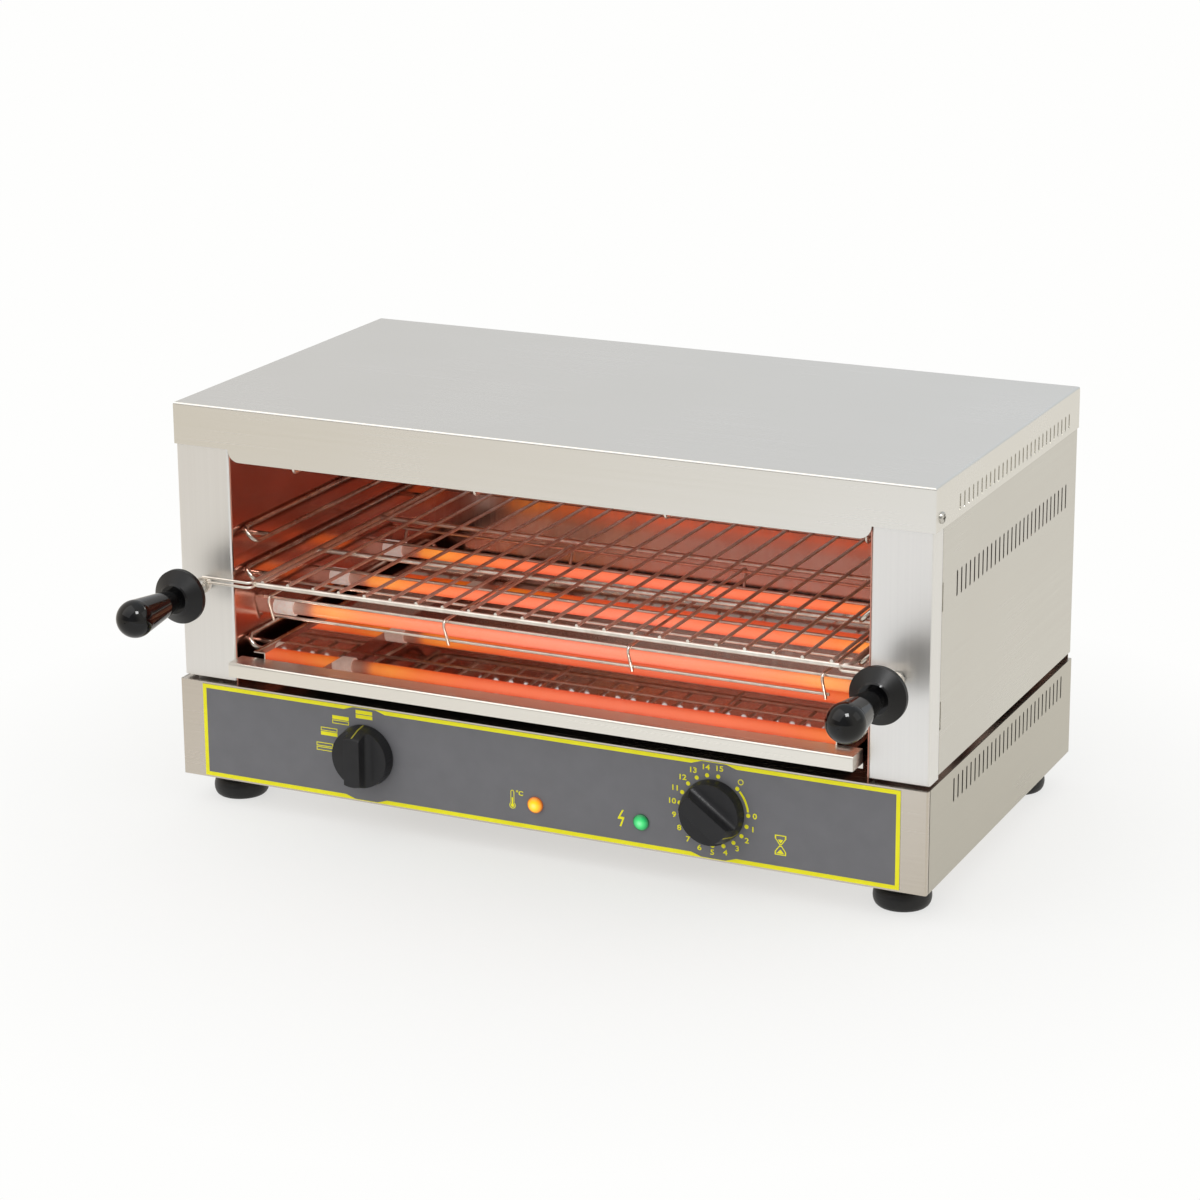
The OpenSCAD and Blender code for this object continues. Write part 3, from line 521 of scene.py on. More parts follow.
@dataclass(frozen=True)
class PlatedSteel(Finish):
    """Zinc-plated steel: bright with a faint crystalline cloud."""

    light: str = "#D5D3CE"
    dark: str = "#B4B1AB"
    roughness: float = 0.24
    crystal_mm: float = 2.5

    def shade(self, tree: Tree) -> Node:
        """Add the cloud of the plating.

        Args:
            tree: The material's node tree.

        Returns:
            The shader node that goes to the output.
        """
        cloud = pattern(tree, [self.crystal_mm] * 3, detail=3.0)
        return add_node(tree, "BsdfPrincipled", {
            "Base Color": add_node(tree, "ValToRGB", {0: cloud},
                                   stops=((LOW, self.dark), (HIGH, self.light))),
            "Metallic": 1.0,
            "Roughness": add_node(tree, "MapRange", {
                "Value": cloud, "From Min": LOW, "From Max": HIGH,
                "To Min": self.roughness - 0.05, "To Max": self.roughness + 0.06}),
        })


@dataclass(frozen=True)
class LampLens(Finish):
    """A moulded lens with a lamp behind it: brightest in the middle, deep in colour at its rim."""

    centre: Sequence[float] = (0.0, 0.0, 0.0)
    radius: float = 0.0065
    stops: Stops = ((0.0, "#FFFFFF"), (1.0, "#000000"))
    body: str = "#D07010"
    strength: float = 1.0

    def shade(self, tree: Tree) -> Node:
        """Colour the light by the distance from the lens's axis.

        Args:
            tree: The material's node tree.

        Returns:
            The shader node that goes to the output.
        """
        place = add_node(tree, "TexCoord").outputs["Object"]
        centred = add_node(tree, "Mapping", {"Vector": place, "Location": [-c for c in self.centre]})
        flat = add_node(tree, "Mapping", {"Vector": centred, "Scale": (1.0, 0.0, 1.0)})
        distance = add_node(tree, "VectorMath", {0: flat}, operation="LENGTH").outputs["Value"]
        share = add_node(tree, "MapRange", {"Value": distance, "From Max": self.radius})
        return add_node(tree, "BsdfPrincipled", {
            "Base Color": linear(self.body),
            "Roughness": 0.12,
            "IOR": 1.49,
            "Coat Weight": 0.2,
            "Emission Color": add_node(tree, "ValToRGB", {0: share}, stops=self.stops),
            "Emission Strength": self.strength,
        })


PLATING = PlatedSteel("steel_zinc_plated")
POLYAMIDE = Moulded("polyamide_moulded", light="#E6E2D8", dark="#D8D2C6", roughness=0.5)


def deselect() -> None:
    """Leave edit mode and deselect everything."""
    if bpy.context.object and bpy.context.object.mode != "OBJECT":
        bpy.ops.object.mode_set(mode="OBJECT")
    bpy.ops.object.select_all(action="DESELECT")


def pick(obj: Object) -> Object:
    """Select one object alone and make it active.

    Args:
        obj: The object.

    Returns:
        The same object.
    """
    deselect()
    obj.select_set(True)
    bpy.context.view_layer.objects.active = obj
    return obj


def named(name: str) -> Object:
    """Name the active object and its data, and give it.

    Args:
        name: The new name.

    Returns:
        The active object.
    """
    obj = bpy.context.object
    obj.name = name
    obj.data.name = name
    return obj


def add_object(name: str, data: bpy.types.ID) -> Object:
    """Put a new object with this data into the scene.

    Args:
        name: The object's name.
        data: Its curve, text, lamp or camera.

    Returns:
        The object.
    """
    obj = bpy.data.objects.new(name, data)
    bpy.context.scene.collection.objects.link(obj)
    return obj


def as_mesh(obj: Object) -> Object:
    """Turn a curve or a text into a mesh.

    Args:
        obj: The curve or the text.

    Returns:
        The object with its mesh.
    """
    pick(obj)
    bpy.ops.object.convert(target="MESH")
    return bpy.context.object


def settle(obj: Object) -> Object:
    """Put the object's place, turn and size into its mesh.

    Args:
        obj: The object.

    Returns:
        The same object.
    """
    pick(obj)
    bpy.ops.object.transform_apply(location=True, rotation=True, scale=True)
    return obj


def twin(obj: Object, name: str) -> Object:
    """Copy an object with a mesh of its own.

    Args:
        obj: The object that is copied.
        name: The copy's name.

    Returns:
        The copy, settled.
    """
    copy = obj.copy()
    copy.data = obj.data.copy()
    copy.name = copy.data.name = name
    bpy.context.scene.collection.objects.link(copy)
    return settle(copy)


def join(objects: Sequence[Object], name: str) -> Object:
    """Join objects into the first one and name the result.

    Args:
        objects: The objects that are joined.
        name: The name of the result.

    Returns:
        The joined object.
    """
    pick(objects[0])
    for obj in objects[1:]:
        obj.select_set(True)
    if len(objects) > 1:
        bpy.ops.object.join()
    return named(name)


def modify(obj: Object, kind: str, **settings: object) -> None:
    """Add a modifier with its settings and apply it.

    Args:
        obj: The object.
        kind: The modifier's type.
        settings: Attributes of the modifier.
    """
    pick(obj)
    modifier = obj.modifiers.new(kind.lower(), kind)
    for name, value in settings.items():
        setattr(modifier, name, value)
    bpy.ops.object.modifier_apply(modifier=modifier.name)


def smooth(obj: Object, degrees: float = 35.0) -> None:
    """Shade smooth, apart from edges sharper than this angle."""
    pick(obj)
    bpy.ops.object.shade_smooth_by_angle(angle=math.radians(degrees))


def traced(node: str, name: str) -> Object:
    """Copy a CAD node's mesh as one clean skin with its flat faces whole.

    Args:
        node: The CAD node.
        name: The copy's name.

    Returns:
        The copy, in the node's place.
    """
    copy = twin(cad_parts[node], name)
    copy.parent = None
    pick(copy)
    bpy.ops.object.mode_set(mode="EDIT")
    bpy.ops.mesh.select_all(action="SELECT")
    bpy.ops.mesh.remove_doubles(threshold=0.005 * MM)
    bpy.ops.mesh.dissolve_limited(angle_limit=math.radians(0.5))
    bpy.ops.object.mode_set(mode="OBJECT")
    return copy


def solid_boxes(node: str) -> list[tuple[Vector, Vector]]:
    """The lowest and highest corners of each separate solid in a CAD node.

    Args:
        node: The CAD node.

    Returns:
        The pairs of corners, from left to right.
    """
    copy = traced(node, node + "_solids")
    bpy.ops.object.mode_set(mode="EDIT")
    bpy.ops.mesh.select_all(action="SELECT")
    bpy.ops.mesh.separate(type="LOOSE")
    bpy.ops.object.mode_set(mode="OBJECT")
    boxes = []
    for part in list(bpy.context.selected_objects):
        points = [vertex.co for vertex in part.data.vertices]
        boxes.append((Vector(map(min, zip(*points))), Vector(map(max, zip(*points)))))
        bpy.data.objects.remove(part)
    return sorted(boxes, key=lambda box: tuple(box[0]))


def finish_piece(obj: Object, finish: Finish, body: Body, slot: str, *nodes: str) -> Object:
    """Dress a piece and fasten it to its body.

    Args:
        obj: The piece, in its place.
        finish: Its surface.
        body: The body that it rides on.
        slot: The record's material slot; not used.
        nodes: The CAD nodes that it stands for.

    Returns:
        The piece.
    """
    finish.dress(obj)
    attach(obj, body.value)
    if nodes:
        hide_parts(*nodes)
    log.info("piece %s: %d faces on %s", obj.name, len(obj.data.polygons), body.value)
    return obj


def rectangle(middle: Point, width: float, height: float) -> Loop:
    """The corners of an upright rectangle about its middle."""
    u, v = middle
    return [(u + i * width / 2, v + j * height / 2) for i, j in ((-1, -1), (1, -1), (1, 1), (-1, 1))]


def arc(middle: Point, radius: float, start: float, end: float, steps: int = 24) -> Loop:
    """Points on an arc, from one angle to another in degrees."""
    turns = [math.radians(start + (end - start) * i / steps) for i in range(steps + 1)]
    return [(middle[0] + radius * math.cos(t), middle[1] + radius * math.sin(t)) for t in turns]


def disc(middle: Point, radius: float, steps: int = 20) -> Loop:
    """The outline of a round dot."""
    return arc(middle, radius, 0.0, 360.0, steps)[:-1]


def outline(loop: Loop, width: float, middle: Point) -> list[Loop]:
    """A closed shape drawn as a line: the shape itself and a smaller one cut out of it.

    Args:
        loop: The shape.
        width: The line's width.
        middle: The point that the shape shrinks to.

    Returns:
        Both loops.
    """
    x, y = middle
    share = 1 - width / max(max(abs(u - x), abs(v - y)) for u, v in loop)
    return [loop, [(x + share * (u - x), y + share * (v - y)) for u, v in loop]]


def shifted(loop: Loop, place: Point) -> Loop:
    """Move a loop that was drawn about its own middle to its place."""
    return [(place[0] + u, place[1] + v) for u, v in loop]


@dataclass(frozen=True)
class SoftBox:
    """A square lamp that faces the grill, with its side in metres and its power in watts."""

    name: str
    place: Sequence[float]
    side: float
    power: float
    lights_matt: bool = True

    def hang(self, aim: Sequence[float]) -> None:
        """Hang the lamp in its place, turned to the point that it aims at.

        Args:
            aim: The point.
        """
        lamp = bpy.data.lights.new(self.name, "AREA")
        lamp.shape = "SQUARE"
        lamp.size = self.side
        lamp.energy = self.power
        obj = add_object(self.name, lamp)
        obj.visible_diffuse = self.lights_matt
        obj.location = self.place
        obj.rotation_euler = (Vector(aim) - Vector(self.place)).to_track_quat("-Z", "Y").to_euler()
        log.info("lamp %s: %.0f W", self.name, self.power)


@dataclass
class Studio:
    """Floor, light and camera, at the photograph's viewing angle.

    Two lamps light the grill, and a small third one only shows as crisp highlights on its metal. The floor
    turns to white paper between the two distances of paper, by the shares that paper_share gives.
    """

    floor_side: float = 24.0
    floor_colour: str = "#F8F8F6"
    backdrop: str = "#FEFEFD"
    paper: Sequence[float] = (0.15, 0.64)
    paper_share: Sequence[float] = (0.50, 1.0)
    across_floor: Stops = ((0.05, "#E7E0D4"), (0.52, "#FDFEFF"), (0.60, "#FDFEFF"), (0.665, "#EEEBE4"))
    across_sides: Stops = ((0.10, "#F3EAE0"), (0.50, "#FBFDFF"), (0.90, "#EDEAE2"))
    deep_sides: Stops = ((0.10, "#A4A4A6"), (0.30, "#FFFFFF"), (0.50, "#FFFFFF"), (0.75, "#E4E8ED"))
    ambient: float = 0.74
    aim: Sequence[float] = (0.0, 0.0, 0.15)
    lamps: Sequence[SoftBox] = (
        SoftBox("key", place=(-1.2, -1.6, 2.4), side=3.2, power=24.0),
        SoftBox("side", place=(2.6, 0.4, 1.8), side=1.8, power=5.0),
        SoftBox("shine", place=(0.9, -1.2, 2.2), side=0.7, power=30.0, lights_matt=False))
    camera_mm: Sequence[float] = (1077.5, -2150.7, 932.4)
    yaw: float = -25.439
    pitch: float = 15.165
    roll: float = -0.385
    lens: float = 99.08
    sensor: float = 36.0
    shift: float = -0.10

    def build(self) -> None:
        """Set up the whole stage."""
        scene = bpy.context.scene
        scene.view_settings.view_transform = "Standard"
        scene.cycles.use_denoising = True
        self.lay_floor()
        self.light_world()
        for lamp in self.lamps:
            lamp.hang(self.aim)
        self.place_camera()

    def seen(self, tree: Tree) -> Socket:
        """1 for the camera and for reflections, and 0 for light that falls on the grill.

        Args:
            tree: The node tree of the floor or the world.

        Returns:
            The value.
        """
        path = add_node(tree, "LightPath").outputs
        shown = path["Is Camera Ray"]
        for ray in ("Is Glossy Ray", "Is Transmission Ray"):
            shown = add_node(tree, "Math", {0: shown, 1: path[ray]}, operation="MAXIMUM").outputs[0]
        return shown

    def spread(self, tree: Tree, value: Socket, stops: Stops) -> Node:
        """Colour a place or a direction that runs from -1 to 1."""
        share = add_node(tree, "MapRange", {"Value": value, "From Min": -1.0})
        return add_node(tree, "ValToRGB", {0: share}, stops=stops)

    def mirrored(self, tree: Tree, tint: Node | Socket) -> Socket:
        """Show a tint in reflections, and the white backdrop otherwise.

        Args:
            tree: The node tree of the floor or the world.
            tint: The colour in reflections.

        Returns:
            The colour.
        """
        glossy = add_node(tree, "LightPath").outputs["Is Glossy Ray"]
        colour = add_node(tree, "Mix", {0: glossy, 6: linear(self.backdrop), 7: tint}, data_type="RGBA")
        return colour.outputs[2]

    def lay_floor(self) -> None:
        """Add the pale floor under the feet, which fades into a white backdrop away from the grill."""
        deselect()
        bpy.ops.mesh.primitive_grid_add(x_subdivisions=8, y_subdivisions=8, size=self.floor_side)
        floor = named("floor")
        made = bpy.data.materials.new("painted_floor")
        tree = cleared(made)
        place = add_node(tree, "TexCoord").outputs["Object"]
        distance = add_node(tree, "VectorMath", {0: place}, operation="LENGTH").outputs["Value"]
        share = add_node(tree, "MapRange", {
            "Value": distance, "From Min": self.paper[0], "From Max": self.paper[1],
            "To Min": self.paper_share[0], "To Max": self.paper_share[1]})
        white = add_node(tree, "Math", {0: share, 1: self.seen(tree)}, operation="MULTIPLY")
        paint = linear(self.floor_colour)
        painted = add_node(tree, "BsdfPrincipled", {"Base Color": paint, "Roughness": 0.9})
        tint = self.spread(tree, along(tree, "X"), self.across_floor)
        paper = add_node(tree, "Emission", {"Color": self.mirrored(tree, tint), "Strength": 1.0})
        shader = add_node(tree, "MixShader", {0: white, 1: painted, 2: paper})
        add_node(tree, "OutputMaterial", {"Surface": shader})
        floor.data.materials.append(made)

    def light_world(self) -> None:
        """Make the world white for the camera, softer as light on the grill, and tinted in reflections."""
        world = bpy.data.worlds.new("studio")
        tree = cleared(world)
        level = add_node(tree, "MapRange", {"Value": self.seen(tree), "To Min": self.ambient})
        direction = add_node(tree, "TexCoord").outputs["Generated"]
        turn = add_node(tree, "SeparateXYZ", {0: direction}).outputs
        across = self.spread(tree, turn["X"], self.across_sides)
        deep = self.spread(tree, turn["Y"], self.deep_sides)
        tint = add_node(tree, "Mix", {0: 1.0, 6: across, 7: deep}, data_type="RGBA", blend_type="MULTIPLY")
        colour = self.mirrored(tree, tint.outputs[2])
        light = add_node(tree, "Background", {"Color": colour, "Strength": level})
        add_node(tree, "OutputWorld", {"Surface": light})
        bpy.context.scene.world = world

    def place_camera(self) -> None:
        """Stand the camera where the photograph was taken, measured from the foot of the hood's front."""
        yaw, pitch, roll = (math.radians(a) for a in (self.yaw, self.pitch, self.roll))
        ahead = Vector((math.sin(yaw) * math.cos(pitch), math.cos(yaw) * math.cos(pitch), -math.sin(pitch)))
        right = Vector((math.cos(yaw), -math.sin(yaw), 0.0))
        turn = Matrix.Rotation(roll, 3, -ahead)
        right, above = turn @ right, turn @ right.cross(ahead)
        matrix = Matrix((right, above, -ahead)).transposed().to_4x4()
        start = Vector((0.0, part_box("hood")[0].y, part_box("base_front")[0].z))
        matrix.translation = start + Vector(self.camera_mm) * MM
        data = bpy.data.cameras.new("camera")
        data.sensor_width, data.lens, data.shift_y = self.sensor, self.lens, self.shift
        camera = add_object("camera", data)
        camera.matrix_world = matrix
        bpy.context.scene.camera = camera


@dataclass
class Cabinet:
    """Sheet metal of the hood, the sides and the base."""

    def dress(self) -> None:
        """Give each sheet a brushed finish along its own grain."""
        BrushedStainless("stainless_brushed_hood", light="#E7E5E0", dark="#E3E1DB").dress_nodes("hood")
        BrushedStainless("stainless_brushed_base", light="#D0C8BD", dark="#CAC2B7").dress_nodes(
            "base_front", "base_rear", "base_top_plate", "base_bottom_plate")
        BrushedStainless("stainless_brushed_side", grain=Axis.DEEP).dress_nodes(
            "left_side_panel", "right_side_panel")
        BrushedStainless("stainless_brushed_base_side", grain=Axis.DEEP, light="#C4C0B5", dark="#BFBBB0",
                         roughness=0.30).dress_nodes("base_left_side", "base_right_side")
        BrushedStainless("stainless_brushed_post", grain=Axis.UPRIGHT, light="#EFEEEC", dark="#EBEAE8",
                         roughness=0.40).dress_nodes("left_post", "right_post")


@dataclass
class Cavity:
    """Heated space: polished walls, tray, runners, guards and tubes."""

    lip_mm: float = 21.0
    tubes: Sequence[str] = tuple(f"{level}_{place}_tube" for level in ("lower", "upper")
                                 for place in ("front", "middle", "rear"))

    def dress(self) -> None:
        """Give the cavity's pieces their finishes."""
        low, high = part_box("rear_panel")
        # The polished sheets' red tints are partly heat tint and partly a painted reflection of the tubes'
        # glow
        HalfBrushed("stainless_rear_sheet", light="#DECEC5", dark="#D0BEB4",
                    edge_y=(low.y + high.y) / 2).dress_nodes("rear_panel")
        PolishedStainless("stainless_rolled_bright", light="#CC9788", dark="#BA8373").dress_nodes(
            "left_inner_wall", "right_inner_wall", "ceiling_reflector")
        HalfBrushed("stainless_tray_sheet", light="#F0E3DB", dark="#E7D8CF", roughness=0.03,
                    outside="#EBE7DE", edge_y=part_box("crumb_tray")[0].y + self.lip_mm * MM,
                    brushed_behind=False).dress_nodes("crumb_tray")
        DrawnWire("stainless_drawn_wire").dress_nodes("left_runners", "right_runners")
        # Painted light: the guard wire is coloured lighter than the runners' wire to stand for the highlights
        # on its front
        DrawnWire("stainless_guard_wire", light="#F2EBE0", dark="#DCD2C7", roughness=0.34).dress_nodes(
            "lower_guard", "upper_guard")
        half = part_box(self.tubes[0])[1].x
        GlowingQuartz("quartz_satin_glowing", half_length=half, strength=0.88).dress_nodes(*self.tubes[:3])
        GlowingQuartz("quartz_satin_dimmed", half_length=half, strength=0.85).dress_nodes(*self.tubes[3:])
        Steatite("steatite_fired").dress_nodes("lower_tube_caps", "upper_tube_caps")
        OxidisedWire("heating_wire_oxidised").dress_nodes("lower_heating_coils", "upper_heating_coils")


@dataclass
class SlidingGrid:
    """Wire grid with its handles."""

    collar_mm: float = 12.0

    def dress(self) -> None:
        """Give the grid and its fittings their finishes."""
        # Painted light: the grid wire is coloured lighter than the runners' wire to stand for brighter
        # surroundings in its reflections
        DrawnWire("stainless_grid_wire", light="#F2ECE2", dark="#DDD4C9", roughness=0.42).dress_nodes(
            "grid_rack")
        PLATING.dress_nodes("handle_studs", "handle_nuts")
        collar_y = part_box("left_handle")[1].y - self.collar_mm * MM
        Bakelite("bakelite_moulded_polished", light="#0A0A0B", dark="#070708", roughness=0.06, relief=0.01,
                 gloss=0.36, collar_y=collar_y).dress_nodes("left_handle", "right_handle")


@dataclass
class ControlPanel:
    """Printed film on the base's front with knobs and lamps. Its marks are drawn in millimetres.

    A mark's place is measured across from the middle of the panel and up from the underside of the base.
    """

    ink_mm: float = 0.08
    ink_proud: float = 0.3
    border_mm: float = 3.3
    thin_border_mm: float = 0.5
    notch_mm: Point = (18.5, 10.0)
    knob_mm: Point = (150.0, 40.5)
    timer_rest: float = 126.0
    flank_mm: Sequence[Point] = ((20.6, 20.8), (24.2, 10.0), (25.2, 1.2))
    pointer_mm: Point = (1.2, 0.12)
    soft_edge_mm: float = 0.5
    minutes: int = 15
    minute_turn: float = 18.56
    zero_turn: float = 1.0
    hold_turn: float = 47.0
    hold_gap: float = 5.5
    hold_band_mm: float = 0.85
    hold_mark: Point = (34.2, 50.0)
    hold_mark_mm: float = 2.3
    dot_ring_mm: float = 28.2
    number_ring_mm: float = 33.6
    two_digits_mm: float = 1.0
    number_mm: float = 4.3
    size_per_height: float = 1.38
    number_spread: float = 1.2
    number_bold: float = 0.035
    dot_mm: float = 1.7
    bar_mm: Point = (15.0, 3.1)
    line_mm: float = 0.6
    thermometer_mm: Point = (-20.0, 23.5)
    bolt_mm: Point = (72.8, 22.6)
    hourglass_mm: Point = (204.5, 21.7)
    amber: Stops = ((0.0, "#FFF68A"), (0.40, "#FFE51E"), (0.72, "#FFB410"), (1.0, "#7A3208"))
    green: Stops = ((0.0, "#9CFFBC"), (0.40, "#50EC84"), (0.72, "#20B860"), (1.0, "#053A1C"))
    ink: Finish = Printed("ink_screen_printed", light="#FFF82A", dark="#FAF222")
    worn_ink: Finish = Printed("ink_pointer_worn", light="#B4AC3A", dark="#9A9232")

    def __post_init__(self) -> None:
        """Find the panel's face and edges on the solids."""
        low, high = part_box("control_overlay")
        self.face_y = low.y
        self.foot_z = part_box("base_front")[0].z
        self.width_mm = (high.x - low.x) / MM
        self.low_mm, self.high_mm = (low.z - self.foot_z) / MM, (high.z - self.foot_z) / MM

    def build(self) -> None:
        """Print the marks, make the knobs, then dress the lamps and switches."""
        self.print_border()
        self.print_timer()
        self.print_selector()
        self.print_thermometer()
        self.print_bolt()
        self.print_hourglass()
        self.make_knob("selector", Body.SELECTOR, 0.0)
        self.make_knob("timer", Body.TIMER, self.timer_rest)
        self.dress()

    def make_knob(self, kind: str, body: Body, turn: float) -> None:
        """Make a knob with soft edges from its solid, and inlay its pointer line.

        Args:
            kind: The start of the knob's name.
            body: The body that it turns with.
            turn: How far it is turned at rest, clockwise from upright.
        """
        node = kind + "_knob"
        knob = traced(node, kind + "_knob_soft")
        modify(knob, "BEVEL", width=self.soft_edge_mm * MM, segments=3, limit_method="ANGLE",
               angle_limit=math.radians(28.0))
        smooth(knob)
        plastic = Moulded("knob_plastic_satin", light="#262628", dark="#202022", roughness=0.40, gloss=0.3)
        finish_piece(knob, plastic, body, "knob_plastic", node)
        low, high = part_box(node)
        self.inlay_pointer(kind, body, turn, Vector(((low.x + high.x) / 2, high.y, (low.z + high.z) / 2)))

    def inlay_pointer(self, kind: str, body: Body, turn: float, foot: Vector) -> None:
        """Lay the pointer line down the flank at the end of a knob's grip.

        Args:
            kind: The start of the piece's name.
            body: The body that it turns with.
            turn: How far the knob is turned at rest.
            foot: The middle of the knob's back.
        """
        width, thickness = self.pointer_mm
        (front_r, front_y), *rest = self.flank_mm
        deselect()
        bpy.ops.mesh.primitive_plane_add(size=width * MM)
        line = named(kind + "_pointer")
        bpy.ops.object.mode_set(mode="EDIT")
        bpy.ops.mesh.select_all(action="SELECT")
        bpy.ops.transform.resize(value=(1.0, 0.0, 1.0))
        bpy.ops.mesh.remove_doubles(threshold=0.01 * MM)
        bpy.ops.mesh.select_all(action="SELECT")
        bpy.ops.transform.translate(value=(0.0, -front_y * MM, front_r * MM))
        for radius, depth in rest:
            step = (0.0, (front_y - depth) * MM, (radius - front_r) * MM)
            bpy.ops.mesh.extrude_region_move(TRANSFORM_OT_translate={"value": step})
            front_r, front_y = radius, depth
        bpy.ops.mesh.select_all(action="SELECT")
        bpy.ops.mesh.normals_make_consistent(inside=False)
        bpy.ops.object.mode_set(mode="OBJECT")
        modify(line, "SOLIDIFY", thickness=thickness * MM, offset=0.0)
        line.rotation_euler = (0.0, math.radians(turn), 0.0)
        line.location = foot
        finish_piece(settle(line), self.worn_ink, body, "printed_overlay")

    def stand_up(self, obj: Object) -> Object:
        """Stand a flat mesh, drawn in millimetres, on the panel's face.

        Args:
            obj: The mesh.

        Returns:
            The same object, settled.
        """
        obj.rotation_euler = (math.radians(90.0), 0.0, 0.0)
        obj.scale = (MM, MM, MM)
        obj.location = (0.0, self.face_y - self.ink_proud * self.ink_mm * MM, self.foot_z)
        return settle(obj)

    def print_loops(self, name: str, loops: Iterable[Loop]) -> Object:
        """Print closed loops as one mark, where a loop inside another is a hole.

        Args:
            name: The piece's name.
            loops: The outlines in millimetres.

        Returns:
            The printed piece.
        """
        curve = bpy.data.curves.new(name, "CURVE")
        curve.dimensions = "2D"
        curve.fill_mode = "BOTH"
        curve.extrude = self.ink_mm / 2
        for loop in loops:
            spline = curve.splines.new("POLY")
            spline.points.add(len(loop) - 1)
            for point, (u, v) in zip(spline.points, loop):
                point.co = (u, v, 0.0, 1.0)
            spline.use_cyclic_u = True
        printed = self.stand_up(as_mesh(add_object(name, curve)))
        return finish_piece(printed, self.ink, Body.CABINET, "printed_overlay")

    def print_words(self, name: str, words: Sequence[tuple[str, Point, float]]) -> Object:
        """Print short signs, each centred on its place.

        Args:
            name: The piece's name.
            words: Each sign with its place and its height in millimetres.

        Returns:
            The printed piece.
        """
        pieces = []
        for body, (u, v), height in words:
            text = bpy.data.curves.new(name, "FONT")
            text.body = body
            text.size = self.size_per_height * height
            text.align_x, text.align_y = "CENTER", "CENTER"
            text.extrude = self.ink_mm / 2
            text.bevel_depth = self.number_bold * height
            text.bevel_resolution = 0
            obj = add_object(name, text)
            obj.location = (u, v, 0.0)
            obj.scale.x = self.number_spread
            pieces.append(settle(as_mesh(obj)))
        printed = self.stand_up(join(pieces, name))
        return finish_piece(printed, self.ink, Body.CABINET, "printed_overlay")

    def notched(self, side: int, thick: float, thin: float) -> Loop:
        """The border's inner edge past both knobs.

        Args:
            side: 1 to run from the right, above the knobs, and -1 to run from the left, below them.
            thick: The edge's height between the knobs.
            thin: The edge's height at a knob.

        Returns:
            The edge's points.
        """
        wide, narrow = self.notch_mm
        knob = self.knob_mm[0]
        steps = ((wide, thick), (narrow, thin), (-narrow, thin), (-wide, thick))
        return [(side * (x + step), height) for x in (knob, -knob) for step, height in steps]

    def print_border(self) -> None:
        """Print the border, which grows thin above and below the knobs."""
        inner_x = self.width_mm / 2 - self.border_mm
        low, high = self.low_mm + self.border_mm, self.high_mm - self.border_mm
        inner = [(inner_x, low), (inner_x, high), *self.notched(1, high, self.high_mm - self.thin_border_mm),
                 (-inner_x, high), (-inner_x, low), *self.notched(-1, low, self.low_mm + self.thin_border_mm)]
        middle = (0.0, (self.low_mm + self.high_mm) / 2)
        outer = rectangle(middle, self.width_mm, self.high_mm - self.low_mm)
        self.print_loops("panel_border", [outer, inner])

    def on_timer(self, radius: float, turn: float) -> Point:
        """A place round the timer knob, by its distance and its angle."""
        return arc(self.knob_mm, radius, turn, turn, 1)[0]

    def print_timer(self) -> None:
        """Print the timer's dots, its numbers and the arc to the hold mark."""
        turns = [self.zero_turn - self.minute_turn * i for i in range(self.minutes + 1)]
        dots = [disc(self.on_timer(self.dot_ring_mm, turn), self.dot_mm) for turn in turns + [self.hold_turn]]
        start, end = self.zero_turn + self.hold_gap, self.hold_turn - self.hold_gap
        hold_arc = (arc(self.knob_mm, self.dot_ring_mm + self.hold_band_mm, start, end)
                    + arc(self.knob_mm, self.dot_ring_mm - self.hold_band_mm, end, start))
        hold = self.on_timer(*self.hold_mark)
        ring = outline(disc(hold, self.hold_mark_mm), self.line_mm, hold)
        self.print_loops("timer_scale", dots + [hold_arc] + ring)
        numbers = []
        for i, turn in enumerate(turns):
            radius = self.number_ring_mm + (self.two_digits_mm if i > 9 else 0.0)
            numbers.append((str(i), self.on_timer(radius, turn), self.number_mm))
        self.print_words("timer_numbers", numbers)

    def print_selector(self) -> None:
        """Print two stacked bars for each setting: a full bar is a row of tubes that is on."""
        settings = (((-150.4, 73.7), True, True), ((-171.8, 66.3), True, False),
                    ((-182.5, 55.1), False, True), ((-186.8, 41.9), False, False))
        width, height = self.bar_mm
        loops = []
        for (u, v), *lit in settings:
            for side, full in zip((1, -1), lit):
                middle = (u, v + side * (height + self.line_mm) / 2)
                loops.append(rectangle(middle, width, height))
                if not full:
                    loops.append(rectangle(middle, width - 2 * self.line_mm, height - 2 * self.line_mm))
        self.print_loops("selector_marks", loops)

    def print_thermometer(self) -> None:
        """Print the thermometer: an outline of glass, the column in it, and its unit."""
        u, v = self.thermometer_mm
        low, high = (u, v - 5.0), (u, v + 6.0)
        bulb, tube = 2.7, 1.6
        neck = math.degrees(math.asin(tube / bulb))
        glass = [arc(low, bulb - wall, 90.0 + neck, 450.0 - neck) + arc(high, tube - wall, 0.0, 180.0)
                 for wall in (0.0, self.line_mm)]
        column = arc(low, 1.5, 115.0, 425.0) + [(u + 0.6, v + 1.5), (u - 0.6, v + 1.5)]
        self.print_loops("temperature_symbol", [*glass, column])
        self.print_words("temperature_unit", [("\N{DEGREE SIGN}C", (u + 6.2, v + 5.6), 3.6)])

    def print_bolt(self) -> None:
        """Print the bolt of the mains lamp."""
        bolt = [(1.0, 6.8), (-2.6, 0.0), (-2.6, -0.9), (1.1, -0.9), (-1.2, -6.6),
                (0.4, -6.8), (2.9, 0.4), (2.9, 1.2), (-0.6, 1.2), (2.5, 6.8)]
        self.print_loops("mains_symbol", [shifted(bolt, self.bolt_mm)])

